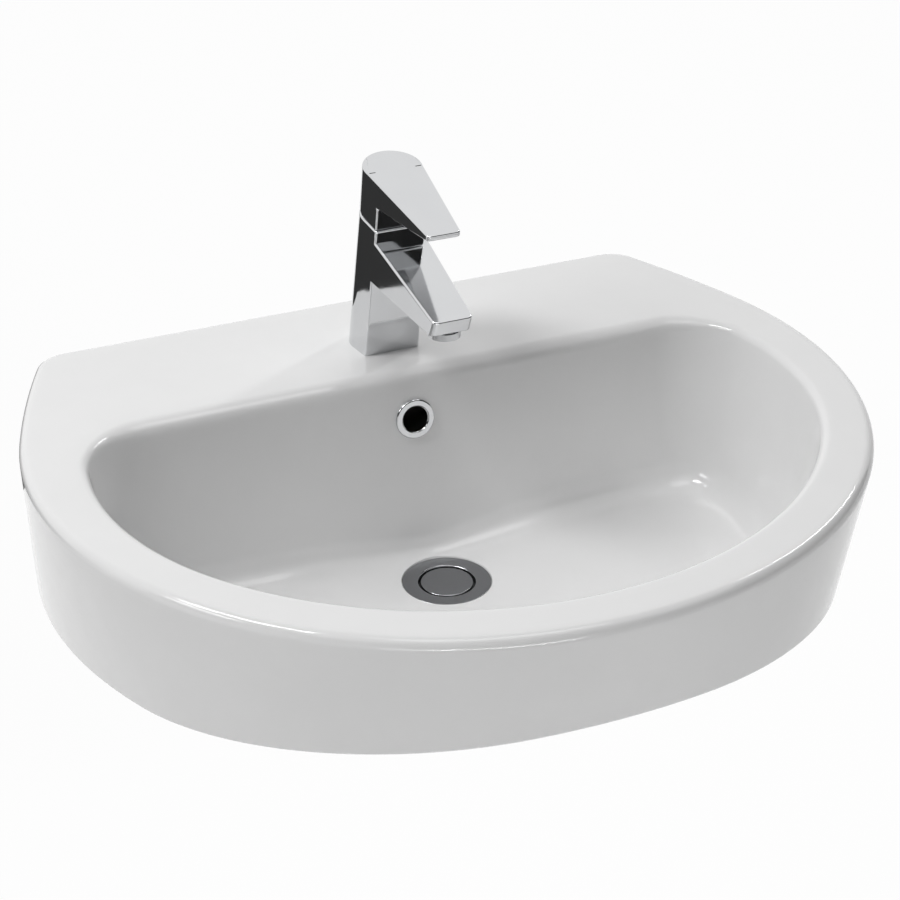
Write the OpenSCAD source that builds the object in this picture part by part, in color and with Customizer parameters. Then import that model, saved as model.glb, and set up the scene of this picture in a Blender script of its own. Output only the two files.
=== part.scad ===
// Wall-hung basin with a pop-up waste and a single-lever mixer tap.
// Frame: origin midway between the two wall-fixing holes, on the wall face.
// +X to the right when facing the basin, -Y out of the wall to the user, +Z up.
// All sizes in millimetres. Heights named rim or deck count down from the rim top.

/* [Basin outline] */
// Overall width of the basin
basin_w = 600; // [560:5:640]
// Overall depth from the wall to the front
basin_d = 497; // [470:1:520]
// Height of the rim top above the wall-fixing holes
rim_z = 95; // [70:5:120]
// Radius of the front arc in plan
front_r = 318; // [305:1:340]
// Radius of the side arc that runs back to the wall
side_r = 775.5; // [600:0.5:1500]
// Corner radius in plan at the wall
corner_r = 27.6; // [10:0.1:50]
// Rounding of the outer rim edge
rim_round = 6.8; // [3:0.2:12]

/* [Apron] */
// Height of the apron at the wall
apron_back_h = 179.7; // [150:1:200]
// Rise of the lower edge towards the front, per unit depth
apron_rise = 0.1925; // [0.05:0.01:0.3]
// Inward lean of the apron, in degrees
apron_draft = 8.4; // [2:0.2:10]
// How far the leaning surface starts outside the rim, so the two cross below the rounding
rim_flare = 1.4; // [0:0.1:3]
// Extra lean that the front has over the sides, in degrees
apron_tilt = 4.4; // [0:0.2:6]
// How far the leaning surface is moved back from the front
apron_shift = 3.1; // [0:0.1:6]
// Radius in plan of the leaning sides behind the widest place
apron_side_r = 900; // [600:50:2000]
// Outward lean of the sides where they meet the wall, in degrees
heel_lean = 6.4; // [0:0.2:10]
// Height of the upright band at the rim, above that lean
rim_band = 12; // [10:0.5:20]
// Thickness of the apron wall
apron_t = 11; // [8:0.5:16]
// Thickness of the deck under the tap
deck_t = 14; // [10:0.5:20]
// Thickness of the wall that sits on the room's wall
back_t = 14; // [10:0.5:20]

/* [Bowl] */
// Width of the bowl at the rim
bowl_w = 518; // [480:2:540]
// Distance from the wall to the front of the bowl
bowl_front = 458.5; // [430:0.5:470]
// Distance from the wall to the back of the bowl
bowl_back = 139; // [120:1:160]
// Radius of the bowl's front arc
bowl_front_r = 270; // [262:1:290]
// Radius of the bowl's rear corners
bowl_corner_r = 53.35; // [30:0.05:80]
// Rounding of the bowl's upper edge
bowl_lip = 7; // [3:0.5:14]
// Slope of the bowl wall, inward per unit depth
bowl_slope = 0.14; // [0.05:0.01:0.3]
// Depth of the bowl at the waste
bowl_depth = 146; // [120:1:160]
// Radius between the bowl wall and the floor
bowl_fillet = 22; // [10:1:40]
// Radius of the dished floor
floor_dish_r = 1400; // [800:50:3000]
// Radius of the floor's rise to the front
front_floor_r = 420; // [300:10:800]
// Thickness of the bowl shell
bowl_t = 10; // [8:0.5:14]

/* [Waste] */
// Distance from the wall to the waste
waste_y = 202; // [180:1:230]
// Diameter of the waste flange
waste_flange_d = 66; // [60:0.5:72]
// Diameter of the waste hole in the ceramic
waste_hole_d = 47; // [44:0.5:50]
// Height from the rim to the flange top
waste_top = 144.2; // [120:0.2:160]
// Height from the rim to the underside of the waste boss
waste_boss = 190; // [170:1:200]
// Diameter of the threaded tail
tail_d = 41.9; // [38:0.1:50]
// Diameter of the plug cap
cap_d = 39; // [36:0.5:42]
// How far the plug lifts
plug_lift = 8; // [4:0.5:12]

/* [Overflow] */
// Height from the rim to the overflow's centre
overflow_z = 36.4; // [25:0.5:60]
// Outer diameter of the overflow ring
overflow_d = 30.5; // [24:0.5:36]
// Clear hole of the overflow ring
overflow_hole_d = 20; // [14:0.5:26]

/* [Tap] */
// Distance from the wall to the tap's axis at the deck
tap_y = 79.5; // [65:0.5:95]
// Forward lean of the tap, in degrees
tap_lean = 10.7; // [0:0.1:20]
// Diameter of the tap hole in the deck
tap_hole_d = 35; // [32:0.5:38]
// Radius of the tower at the deck
tower_r_low = 24.4; // [20:0.1:28]
// Radius of the tower at the lever joint
tower_r_top = 22.0; // [18:0.1:26]
// Distance from the tap's axis to the flat front
tower_front = 21.5; // [18:0.1:26]
// Height of the tower along its axis
tower_h = 113.4; // [90:0.1:130]
// Distance from the wall to the spout's tip
spout_tip = 214.7; // [190:0.1:240]
// Distance from the wall to the aerator's axis
aerator_y = 198.5; // [180:0.1:220]

/* [Lever] */
// Height of the lever's top plate along the tap's axis
lever_top = 152.3; // [130:0.1:170]
// Reach of the lever's tip from the tap's axis
lever_reach = 92.6; // [70:0.1:110]
// Height of the pivot along the tap's axis
pivot_h = 108; // [100:0.5:112]
// Most the lever lifts, in degrees
lever_lift = 18; // [10:1:20]

/* [Wall fixing] */
// Distance between the two wall-fixing holes
fix_spacing = 280; // [200:5:320]
// Bore of the wall bushes
bush_bore = 11; // [9:0.5:13]

/* [Hidden] */
$fn = 120;

// Band widths that each swept outline covers before the fill takes over
outer_band = 90;
bowl_band = 90;

// Directions in plan where one arc hands over to the next
front_dir = [0.28, -0.96];
side_dir = [0.96, 0.28];
bowl_dir = [0.8, -0.6];
apron_dir = [1, 0];
open_dir = [0.8, 0.6];

// Outer outline: centres and radii of its tangent arcs
half_w = basin_w / 2;
main_r = (half_w - front_r * front_dir[0]) / (1 - front_dir[0]);
c_front = [0, front_r - basin_d];
c_main = c_front + (front_r - main_r) * front_dir;
c_side = c_main + (main_r - side_r) * side_dir;
corner_rise = -corner_r - c_side[1];
corner_run = sqrt(pow(side_r - corner_r, 2) - pow(corner_rise, 2));
c_corner = c_side + [corner_run, corner_rise];
corner_far = c_corner + 0.25 * [corner_run, corner_rise];
c_apron = c_main + (main_r - apron_side_r) * apron_dir;
front_a = turn_of(front_dir);
side_a = turn_of(side_dir);
corner_a = turn_of([corner_run, corner_rise]);

// Bowl outline
bowl_half = bowl_w / 2;
bowl_main_r = (bowl_half - bowl_front_r * bowl_dir[0]) / (1 - bowl_dir[0]);
b_front = [0, bowl_front_r - bowl_front];
b_main = b_front + (bowl_front_r - bowl_main_r) * bowl_dir;
b_rise = -bowl_back - bowl_corner_r - b_main[1];
b_run = sqrt(pow(bowl_main_r - bowl_corner_r, 2) - pow(b_rise, 2));
b_corner = b_main + [b_run, b_rise];
b_far = b_corner + [b_run, b_rise];
bowl_front_a = turn_of(bowl_dir);
bowl_corner_a = turn_of([b_run, b_rise]);
bowl_wall_a = atan(bowl_slope);

// Slight overlap of a rounding with the flats beside it, so they cross cleanly
blend = 0.03;

// Waste, in a frame with its origin on the flange top
seat_z = -2;
boss_z = waste_top - waste_boss;
tail_end = -90;
thread_top = -42;
outlet_h = 26;

// Small running clearances
slide_gap = 0.05;
part_gap = 0.3;

// Fits shared by the tap's and the waste's own parts
stud_y = tap_y + 11.5;
stud_r = 4;
gasket_out_r = 21;
gasket_in_r = 18.6;
port_x = 8.5;
port_y = 3;
port_r = 3;
port_seal_r = 5;
seat_h = 78;
carrier_h = 96;
carrier_r = 9.9;
pin_r = 1.5;
screw_h = 127;
screw_r = 2.5;
screw_cap_r = 3.2;
aerator_neck_r = 10.5;
insert_r = 9;
stem_r = 3;
cap_boss_r = 6;
washer_r = 31;
boss_r = 38;
bush_r = 10.2;

// Shape of the lever and of the spout's tip
lever_r = 21.9;
lever_low = 114.2;
heel_h = 123;
arm_root_h = 132.3;
tip_t = 4.1;
tip_r = 3;
spout_half = 15.3;
spout_r = 4;

// Point on an arc at an angle counted from the front
function arc_point(c, r, a) = [c[0] + r * sin(a), c[1] - r * cos(a)];

// Angle of a direction in plan, counted from the front
function turn_of(d) = atan2(d[0], -d[1]);

// Point on an arc where it reaches a given distance behind the wall face
function arc_at_y(c, r, y) = [c[0] + sqrt(r * r - pow(y - c[1], 2)), y];

// Value a share of the way from one number to another
function between(a, b, f) = a + (b - a) * f;

// Corner points of a hexagon from its width across flats
function hex_points(af) = [for (i = [0:5]) af / sqrt(3) * [cos(60 * i), sin(60 * i)]];

basin();
overflow_ring();
waste_body();
waste_upper_seal();
waste_lower_seal();
waste_slip_washer();
waste_nut();
plug_latch();
plug_stem();
plug_seal();
plug_cap();
tap_body();
base_gasket();
fixing_stud();
horseshoe_gasket();
horseshoe_washer();
fixing_nut();
cartridge_body();
cartridge_seals();
clamp_ring();
cartridge_shroud();
cartridge_carrier();
pivot_pin();
lever_stem();
lever();
lever_screw();
lever_screw_cap();
aerator_housing();
aerator_insert();
wall_bushes();

// Frames

// Origin on the wall face at the height of the rim top
module rim_frame() {
    translate([0, 0, rim_z]) children();
}

// Origin on the tap's axis at the deck, Z along the leaning axis
module tap_frame() {
    translate([0, -tap_y, rim_z]) rotate([tap_lean, 0, 0]) children();
}

// Origin on the waste's axis at the flange top
module waste_frame() {
    translate([0, -waste_y, rim_z - waste_top]) children();
}

// Origin on the bowl's back wall at the overflow, Z out of the wall into the bowl
module overflow_frame() {
    wall_y = -bowl_back - bowl_slope * (overflow_z - bowl_lip);
    translate([0, wall_y, rim_z - overflow_z]) rotate([90 - bowl_wall_a, 0, 0]) children();
}

// Origin at the top of the bowl's back wall, Z up along the wall, Y away from the bowl
module back_wall_frame() {
    translate([0, -bowl_back, rim_z - bowl_lip]) rotate([-bowl_wall_a, 0, 0]) children();
}

// Sweeps of a section along an outline of tangent arcs

// A section turned about an arc's centre, kept inside a wedge that starts there
module turned(c, r, wedge, band) {
    inner = min(band, r);
    intersection() {
        translate([c[0], c[1], 0]) rotate([0, 0, 180]) rotate_extrude() intersection() {
            translate([r, 0]) children();
            translate([r - inner, -400]) square([inner + 60, 800]);
        }
        translate([0, 0, -350]) linear_extrude(500) polygon(concat([c], wedge));
    }
}

// A straight stretch of section along the back
module straight_back(half_x, y, band) {
    translate([-half_x, y, 0]) rotate([90, 0, 90]) linear_extrude(2 * half_x) intersection() {
        children();
        translate([-band, -400]) square([band + 60, 800]);
    }
}

// The inside of an outline, from z0 to z1
module filled(points, z0, z1) {
    left = [for (i = [len(points) - 1:-1:0]) [-points[i][0], points[i][1]]];
    translate([0, 0, z0]) linear_extrude(z1 - z0) polygon(concat(points, left));
}

// Front arc of the basin
module outer_front() {
    flip = [-front_dir[0], front_dir[1]];
    turned(c_front, front_r, [c_front + 500 * flip, c_front + 500 * front_dir], outer_band) children();
}

// Right-hand main arc of the basin, up to the direction where the next arc takes over
module outer_main(end_dir) {
    turned(c_main, main_r, [
        c_main + 500 * front_dir, c_main + 500 * (front_dir + end_dir), c_main + 500 * end_dir
    ], outer_band) children();
}

// Right-hand side arc of the basin, up to the seam with the corner
module outer_side() {
    turned(c_side, side_r, [c_side + 1000 * side_dir, corner_far], outer_band) children();
}

// Right-hand side arc of the apron, which runs on past the wall
module apron_side() {
    reach = 2 * apron_side_r;
    turned(c_apron, apron_side_r, [c_apron + reach * apron_dir, c_apron + reach * open_dir], outer_band)
        children();
}

// Right-hand corner at the wall
module outer_corner() {
    turned(c_corner, corner_r, [corner_far, [corner_far[0], 120], [c_corner[0], 120]], outer_band)
        children();
}

// Basin outline with rounded corners at the wall
module outer_closed(z0, z1) {
    outer_front() children();
    outer_main(side_dir) children();
    outer_side() children();
    outer_corner() children();
    mirror([1, 0, 0]) outer_main(side_dir) children();
    mirror([1, 0, 0]) outer_side() children();
    mirror([1, 0, 0]) outer_corner() children();
    straight_back(c_corner[0], 0, outer_band) children();
    inset = 60;
    filled([
        arc_point(c_front, front_r - inset, 0.5),
        arc_point(c_front, front_r - inset, front_a),
        arc_point(c_main, main_r - inset, between(front_a, side_a, 0.26)),
        arc_point(c_main, main_r - inset, between(front_a, side_a, 0.51)),
        arc_point(c_main, main_r - inset, between(front_a, side_a, 0.76)),
        arc_point(c_side, side_r - inset, between(side_a, corner_a, 0.1)),
        arc_point(c_side, side_r - inset, between(side_a, corner_a, 0.45)),
        c_corner + [-20, -32],
        c_corner + [-4, -2],
        c_corner + [-12, 6]
    ], z0, z1);
}

// Leaning apron outline, each stretch trimmed at the wall and under the rim
module outer_leaning(back, y_end, z_top) {
    apron_cut(y_end, z_top) outer_front() draft_section(back);
    apron_cut(y_end, z_top) outer_main(apron_dir) draft_section(back);
    apron_cut(y_end, z_top) apron_side() draft_section(back);
    apron_cut(y_end, z_top) mirror([1, 0, 0]) outer_main(apron_dir) draft_section(back);
    apron_cut(y_end, z_top) mirror([1, 0, 0]) apron_side() draft_section(back);
    inset = 62;
    apron_cut(y_end, z_top) filled([
        arc_point(c_front, front_r - inset, 0.5),
        arc_point(c_front, front_r - inset, front_a),
        arc_point(c_main, main_r - inset, 40),
        arc_point(c_main, main_r - inset, 62),
        arc_point(c_main, main_r - inset, 85),
        arc_at_y(c_apron, apron_side_r - inset, c_apron[1] + 60),
        arc_at_y(c_apron, apron_side_r - inset, c_apron[1] / 2),
        arc_at_y(c_apron, apron_side_r - inset, 60)
    ], -280, 40);
}

// A leaning stretch, kept in front of a plane and below a height
module apron_cut(y_end, z_top) {
    intersection() {
        apron_turn() children();
        translate([-400, -700, -240]) cube([800, 700 + y_end, 240 + z_top]);
    }
}

// Right-hand main arc of the bowl
module bowl_main() {
    reach = 400 * bowl_dir;
    turned(b_main, bowl_main_r, [b_main + reach, b_corner + reach, b_far], bowl_band) children();
}

// Right-hand rear corner of the bowl
module bowl_corner() {
    turned(b_corner, bowl_corner_r, [b_far, [b_far[0], 0], [b_corner[0], 0]], bowl_band) children();
}

// Bowl outline
module bowl_closed(z0, z1) {
    flip = [-bowl_dir[0], bowl_dir[1]];
    turned(b_front, bowl_front_r, [
        b_front + 400 * flip, b_front + [0, -500], b_front + 400 * bowl_dir
    ], bowl_band) children();
    bowl_main() children();
    bowl_corner() children();
    mirror([1, 0, 0]) bowl_main() children();
    mirror([1, 0, 0]) bowl_corner() children();
    straight_back(b_corner[0], -bowl_back, bowl_band) children();
    inset = 66;
    filled([
        arc_point(b_front, bowl_front_r - inset, 0.5),
        arc_point(b_front, bowl_front_r - inset, between(0, bowl_front_a, 0.53)),
        arc_point(b_front, bowl_front_r - inset, bowl_front_a),
        arc_point(b_main, bowl_main_r - inset, between(bowl_front_a, bowl_corner_a, 0.53)),
        arc_point(b_main, bowl_main_r - inset, between(bowl_front_a, bowl_corner_a, 0.97)),
        b_corner + [-12, 4],
        b_corner + [-12, 20]
    ], z0, z1);
}

// Sections

// Wall that leans outward below an upright band, set back from the outline
module heel_section(back, z_top) {
    t = tan(heel_lean);
    polygon([
        [-200, z_top], [-back, z_top], [-back, -rim_band],
        [(300 - rim_band) * t - back, -300], [-200, -300]
    ]);
}

// The same wall with a rounded upper edge
module rim_section() {
    heel_section(0, -rim_round);
    translate([-200, -rim_round - 1]) square([200 - rim_round, rim_round + 1]);
    translate([-rim_round, -rim_round]) circle(r = rim_round);
}

// Leaning wall set back from the outline
module draft_section(back) {
    t = tan(apron_draft);
    polygon([[-200, 40], [40 * t - back, 40], [-280 * t - back, -280], [-200, -280]]);
}

// Bowl wall with its floor fillet, grown outward and down
module bowl_section(grow, depth, fillet, z_top) {
    cz = fillet - depth;
    wall_at_cz = grow + bowl_slope * (cz + bowl_lip);
    cx = wall_at_cz - fillet / cos(bowl_wall_a);
    tx = cx + fillet * cos(bowl_wall_a);
    tz = cz - fillet * sin(bowl_wall_a);
    polygon([
        [-200, z_top], [grow, z_top], [grow, -bowl_lip], [tx, tz], [cx, -depth], [-200, -depth]
    ]);
    translate([cx, cz]) circle(r = fillet + blend);
}

// Bowl wall that opens out into the rounded upper edge
module bowl_lip_section() {
    bowl_section(0, bowl_depth + 0.4, bowl_fillet, 6);
    difference() {
        translate([-1, -bowl_lip]) square([bowl_lip + 1, bowl_lip + 6]);
        translate([bowl_lip, 0.05 - bowl_lip]) circle(r = bowl_lip + blend);
    }
}

// Ceramic basin

// Turns a shape so the front leans more than the sides
module apron_turn() {
    translate([0, c_main[1], 0]) rotate([apron_tilt, 0, 0])
        translate([0, apron_shift - c_main[1], 0]) children();
}

// Everything above the apron's lower edge
module above_lower_edge() {
    translate([0, 0, -apron_back_h]) rotate([-atan(apron_rise), 0, 0])
        translate([-400, -700, 0]) cube([800, 900, 400]);
}

// Outer shape of rim and apron, before it is hollowed
module outer_block() {
    intersection() {
        outer_closed(-300, 0) rim_section();
        outer_leaning(-rim_flare, 0, 30);
        above_lower_edge();
    }
}

// Hollow under the deck, behind the apron
module under_hollow() {
    intersection() {
        outer_leaning(apron_t - rim_flare, -back_t, -deck_t);
        outer_closed(-300, 0) heel_section(apron_t, 0);
    }
}

// Space above the dished floor, with the waste's own space left out
module above_dish(drop) {
    translate([0, -waste_y, 0]) rotate_extrude() intersection() {
        translate([0, floor_dish_r - bowl_depth]) circle(r = floor_dish_r + drop);
        translate([10, -300]) square([500, 320]);
    }
}

// Space above the floor's rise to the front
module above_front_floor(drop) {
    r = front_floor_r + drop;
    translate([-330, 0, 0]) rotate([90, 0, 90]) linear_extrude(660) {
        intersection() {
            translate([-waste_y, front_floor_r - bowl_depth]) circle(r = r);
            translate([-waste_y - 300, -300]) square([300, 320]);
        }
        translate([-waste_y, -bowl_depth - drop - 3]) square([waste_y, bowl_depth + drop + 23]);
    }
}

// Space inside the bowl
module bowl_space() {
    intersection() {
        bowl_closed(-bowl_depth - 0.4, 6) bowl_lip_section();
        above_dish(0);
        above_front_floor(0);
    }
}

// Outside of the bowl's shell
module bowl_shell() {
    depth = bowl_depth + bowl_t + 0.4;
    intersection() {
        bowl_closed(-depth, -0.5) bowl_section(bowl_t, depth, bowl_fillet + bowl_t, -0.5);
        above_dish(bowl_t);
        above_front_floor(bowl_t);
    }
}

// Walls of the overflow passage
module overflow_duct() {
    translate([0, 0, -rim_z]) back_wall_frame() translate([-22, 5, -160]) cube([44, 24, 155]);
    translate([-24, -waste_y, -waste_boss + 8]) cube([48, waste_y - 126, 34]);
}

// Passage from the overflow down to the waste hole
module overflow_passage() {
    translate([0, 0, -rim_z]) back_wall_frame() translate([-15, 11, -158]) cube([30, 11, 140]);
    translate([-12, -waste_y, -170]) cube([24, waste_y - 137, 12]);
    translate([0, 0, -rim_z]) overflow_frame() translate([0, 0, -15]) cylinder(d = 23, h = 20);
}

// Rim, bowl, apron, overflow passage and fixing wall in one piece
module basin() {
    color("white") rim_frame() difference() {
        union() {
            difference() {
                outer_block();
                under_hollow();
            }
            bowl_shell();
            overflow_duct();
            translate([0, -waste_y, -waste_boss]) cylinder(r = boss_r, h = waste_boss - bowl_depth + 1);
        }
        bowl_space();
        overflow_passage();
        translate([0, -waste_y, -waste_boss - 5]) cylinder(d = waste_hole_d, h = 80);
        translate([0, -waste_y, -waste_top + seat_z]) cylinder(d = waste_flange_d + 2, h = waste_top + 8);
        translate([0, -tap_y, -deck_t - 5]) cylinder(d = tap_hole_d, h = 30);
        for (x = [-fix_spacing / 2, fix_spacing / 2])
            translate([x, 5, -rim_z]) rotate([90, 0, 0]) cylinder(r = bush_r, h = 40);
    }
}

// Overflow

// Ring with a rounded lip and a sleeve that grips the hole
module overflow_ring() {
    ro = overflow_d / 2;
    ri = overflow_hole_d / 2;
    color("silver") overflow_frame() rotate_extrude() {
        translate([ri, -12]) square([1.5, 13]);
        difference() {
            translate([ri, 0.02]) square([ro - ri - 1.2, 2.4]);
            translate([ri - 0.4, 2.6]) circle(r = 1.2);
        }
        translate([ro - 1.25, 0.02]) intersection() {
            translate([0, 1.15]) circle(r = 1.25);
            translate([-2, 0]) square([4, 4]);
        }
    }
}

// Waste

// Flange, threaded tail, overflow slots and the web that carries the latch
module waste_body() {
    rf = waste_flange_d / 2;
    color("silver") waste_frame() difference() {
        union() {
            rotate_extrude() {
                translate([15, -1.2]) square([rf - 15.6, 1.2]);
                translate([rf - 0.6, -0.6]) circle(r = 0.6);
            }
            translate([0, 0, -13]) cylinder(r = 22.5, h = 12.5);
            translate([0, 0, thread_top]) cylinder(r = 20.6, h = -12 - thread_top);
            translate([0, 0, tail_end]) cylinder(d = tail_d, h = outlet_h);
            translate([0, 0, tail_end + outlet_h - 1]) cylinder(d = tail_d - 2, h = 4);
            translate([0, 0, tail_end + outlet_h + 2]) cylinder(d = tail_d, h = thread_top - tail_end - outlet_h - 2);
        }
        difference() {
            union() {
                translate([0, 0, -5]) cylinder(r = 21.2, h = 10);
                translate([0, 0, -9]) cylinder(r1 = 18.5, r2 = 21.2, h = 4);
                translate([0, 0, tail_end - 5]) cylinder(r = 18.5, h = 90);
            }
            translate([-19.5, -1.5, -34]) cube([39, 3, 5]);
            translate([-1.5, -19.5, -34]) cube([3, 39, 5]);
            translate([0, 0, -34]) cylinder(r = 7.5, h = 6);
        }
        translate([0, 0, -40]) cylinder(r = 4.2, h = 14);
        translate([-30, -7, -25]) cube([60, 14, 9]);
        translate([-7, 0, -25]) cube([14, 30, 9]);
    }
}

// Thin ring under the flange
module waste_upper_seal() {
    color("dimgray") waste_frame() translate([0, 0, seat_z]) difference() {
        cylinder(r = washer_r, h = 0.8);
        translate([0, 0, -1]) cylinder(r = 23.6, h = 3);
    }
}

// Thick ring under the boss, with a cone that centres it in the hole
module waste_lower_seal() {
    color("dimgray") waste_frame() difference() {
        union() {
            translate([0, 0, boss_z - 4]) cylinder(r = boss_r - 5, h = 4);
            translate([0, 0, boss_z]) cylinder(r1 = 23.2, r2 = 22.2, h = 3);
        }
        translate([0, 0, boss_z - 5]) cylinder(d = tail_d, h = 12);
    }
}

// Slip washer between the seal and the nut
module waste_slip_washer() {
    color("white") waste_frame() translate([0, 0, boss_z - 5.5]) difference() {
        cylinder(r = washer_r, h = 1.5);
        translate([0, 0, -1]) cylinder(d = tail_d, h = 4);
    }
}

// Lock nut with six flats
module waste_nut() {
    color("silver") waste_frame() translate([0, 0, boss_z - 15.5]) difference() {
        union() {
            linear_extrude(10) polygon(hex_points(54));
            translate([0, 0, 8.5]) cylinder(r = 29.5, h = 1.5);
        }
        translate([0, 0, -1]) cylinder(d = tail_d, h = 13);
    }
}

// Push-push latch that holds the plug up or down
module plug_latch() {
    color("ivory") waste_frame() difference() {
        union() {
            translate([0, 0, -28]) cylinder(r = 7, h = 16.5);
            translate([0, 0, -38]) cylinder(r = 4.1, h = 10.5);
            translate([0, 0, -38]) linear_extrude(4) polygon(hex_points(12));
        }
        translate([0, 0, -27]) cylinder(r = stem_r + slide_gap, h = 20);
    }
}

// Round stem between the latch and the cap
module plug_stem() {
    color("silver") waste_frame() translate([0, 0, -26]) cylinder(r = stem_r, h = 21.4);
}

// Flexible disc that closes the waste
module plug_seal() {
    color("dimgray") waste_frame() difference() {
        union() {
            translate([0, 0, -5.4]) cylinder(r = 20.6, h = 1.8);
            translate([0, 0, -6.6]) cylinder(r1 = 19.8, r2 = 20.6, h = 1.2);
        }
        translate([0, 0, -8]) cylinder(r = cap_boss_r, h = 6);
    }
}

// Round cap with a soft edge and a boss for the stem
module plug_cap() {
    rc = cap_d / 2;
    color("silver") waste_frame() difference() {
        union() {
            rotate_extrude() {
                translate([0, -3.6]) square([rc - 0.8, 3]);
                translate([0, -3.6]) square([rc, 2.2]);
                translate([rc - 0.8, -1.4]) circle(r = 0.8);
            }
            translate([0, 0, -10.5]) cylinder(r = cap_boss_r, h = 8);
        }
        translate([0, 0, -12]) cylinder(r = stem_r, h = 7.4);
    }
}

// Tap body

// Keeps what lies inside a flat side that touches the round back
module side_limit() {
    k = atan((tower_r_low - tower_r_top) / (tower_h + 10));
    rotate([0, 0, -7]) translate([tower_r_low - 0.04, 0, -10]) rotate([0, -k, 0])
        translate([-200, -200, -100]) cube([200, 400, 400]);
}

// Leaning tower with a round back and a flat front
module tower() {
    intersection() {
        union() {
            translate([0, 0, -10]) cylinder(r1 = tower_r_low, r2 = tower_r_top, h = tower_h + 10);
            intersection() {
                translate([-30, -tower_front - 2, -10]) cube([60, tower_front, tower_h + 10]);
                side_limit();
                mirror([1, 0, 0]) side_limit();
            }
        }
        translate([-40, -tower_front, -20]) cube([80, 80, tower_h + 20]);
    }
}

// Wedge-shaped spout in the rim's own frame
module spout() {
    intersection() {
        rotate([90, 0, 90]) translate([0, 0, -30]) linear_extrude(60) polygon([
            [-96, 103.5], [-spout_tip, 74.2], [-spout_tip + 0.3, 72.0], [-spout_tip + 3.9, 62.6],
            [-spout_tip + 5.4, 61.6], [-96, 64.3]
        ]);
        translate([0, 0, 40]) linear_extrude(80) {
            polygon([
                [-20.6, -96], [-spout_half, -spout_tip + spout_r],
                [spout_r - spout_half, -spout_tip], [spout_half - spout_r, -spout_tip],
                [spout_half, -spout_tip + spout_r], [20.6, -96]
            ]);
            for (x = [spout_r - spout_half, spout_half - spout_r])
                translate([x, -spout_tip + spout_r]) circle(r = spout_r);
        }
    }
}

// Tower and spout with the cartridge seat, waterways and fixing boss
module tap_body() {
    color("silver") difference() {
        union() {
            intersection() {
                tap_frame() tower();
                rim_frame() translate([-50, -150, 0]) cube([100, 150, 200]);
            }
            rim_frame() spout();
        }
        difference() {
            tap_frame() translate([0, 0, -10]) cylinder(r = 18, h = 76);
            rim_frame() translate([0, -stud_y, 2]) cylinder(r = stud_r + 2, h = 24);
            rim_frame() translate([-3, -tap_y - 25, 2]) cube([6, 14, 24]);
        }
        rim_frame() translate([0, -stud_y, -5]) cylinder(r = stud_r, h = 27);
        tap_frame() translate([0, 0, seat_h]) cylinder(r = 17.8, h = 60);
        tap_frame() for (x = [-port_x, port_x]) {
            translate([x, port_y, 60]) cylinder(r = port_seal_r, h = 15);
            translate([x, port_y, 70]) cylinder(r = port_r, h = 12);
        }
        rim_frame() translate([0, -aerator_y - 1, 68.2]) rotate([-84.1, 0, 0]) cylinder(r = 4.5, h = 94);
        rim_frame() translate([0, -aerator_y, 50]) cylinder(r = aerator_neck_r, h = 16);
        rim_frame() translate([0, -aerator_y, 60]) cylinder(r = 8, h = 10.5);
        rim_frame() difference() {
            translate([0, -tap_y, -1]) cylinder(r = gasket_out_r, h = 3);
            translate([0, -tap_y, -2]) cylinder(r = gasket_in_r, h = 5);
        }
    }
}

// Ring in the groove under the tap
module base_gasket() {
    color("dimgray") rim_frame() translate([0, -tap_y, 0]) difference() {
        cylinder(r = gasket_out_r, h = 2);
        translate([0, 0, -1]) cylinder(r = gasket_in_r, h = 4);
    }
}

// Threaded rod that pulls the tap onto the deck
module fixing_stud() {
    color("silver") rim_frame() translate([0, -stud_y, -52]) cylinder(r = stud_r, h = 74);
}

// Horseshoe shape in plan, open towards the wall
module horseshoe(h) {
    difference() {
        cylinder(r = 22, h = h);
        translate([-14, -5.5, -1]) cube([28, 40, h + 2]);
        translate([0, tap_y - stud_y, -1]) cylinder(r = stud_r + 0.2, h = h + 2);
    }
}

// Soft pad against the underside of the deck
module horseshoe_gasket() {
    color("dimgray") rim_frame() translate([0, -tap_y, -deck_t - 3]) horseshoe(3);
}

// Pressed plate that spreads the nut's load
module horseshoe_washer() {
    color("silver") rim_frame() translate([0, -tap_y, -deck_t - 5]) horseshoe(2);
}

// Long nut on the threaded rod
module fixing_nut() {
    color("gold") rim_frame() translate([0, -stud_y, -deck_t - 19]) difference() {
        linear_extrude(14) polygon(hex_points(13));
        translate([0, 0, -1]) cylinder(r = stud_r, h = 16);
    }
}

// Cartridge

// Housing with a round seat for the turning carrier
module cartridge_body() {
    color("ivory") tap_frame() difference() {
        union() {
            translate([0, 0, 80]) cylinder(r = 17.4, h = 24);
            translate([0, 0, 104]) cylinder(r = 12.2, h = 3);
        }
        translate([0, 0, carrier_h]) cylinder(r = carrier_r + slide_gap, h = 20);
        for (x = [-port_x, port_x])
            translate([x, port_y, seat_h]) cylinder(r = port_r, h = 12);
        translate([0, -6, 82]) cylinder(r = 4.5, h = 8);
        translate([-5, -30, 82]) cube([10, 24, 8]);
    }
}

// Rings that seal the cartridge on its seat
module cartridge_seals() {
    color("dimgray") tap_frame() for (x = [-port_x, port_x])
        translate([x, port_y, seat_h]) difference() {
            cylinder(r = port_seal_r, h = 2);
            translate([0, 0, -1]) cylinder(r = port_r, h = 4);
        }
}

// Threaded ring that holds the cartridge down
module clamp_ring() {
    color("gold") tap_frame() translate([0, 0, 104]) difference() {
        cylinder(r = 17.7, h = 7.5);
        translate([0, 0, -1]) cylinder(r = 12.4, h = 10);
    }
}

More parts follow.
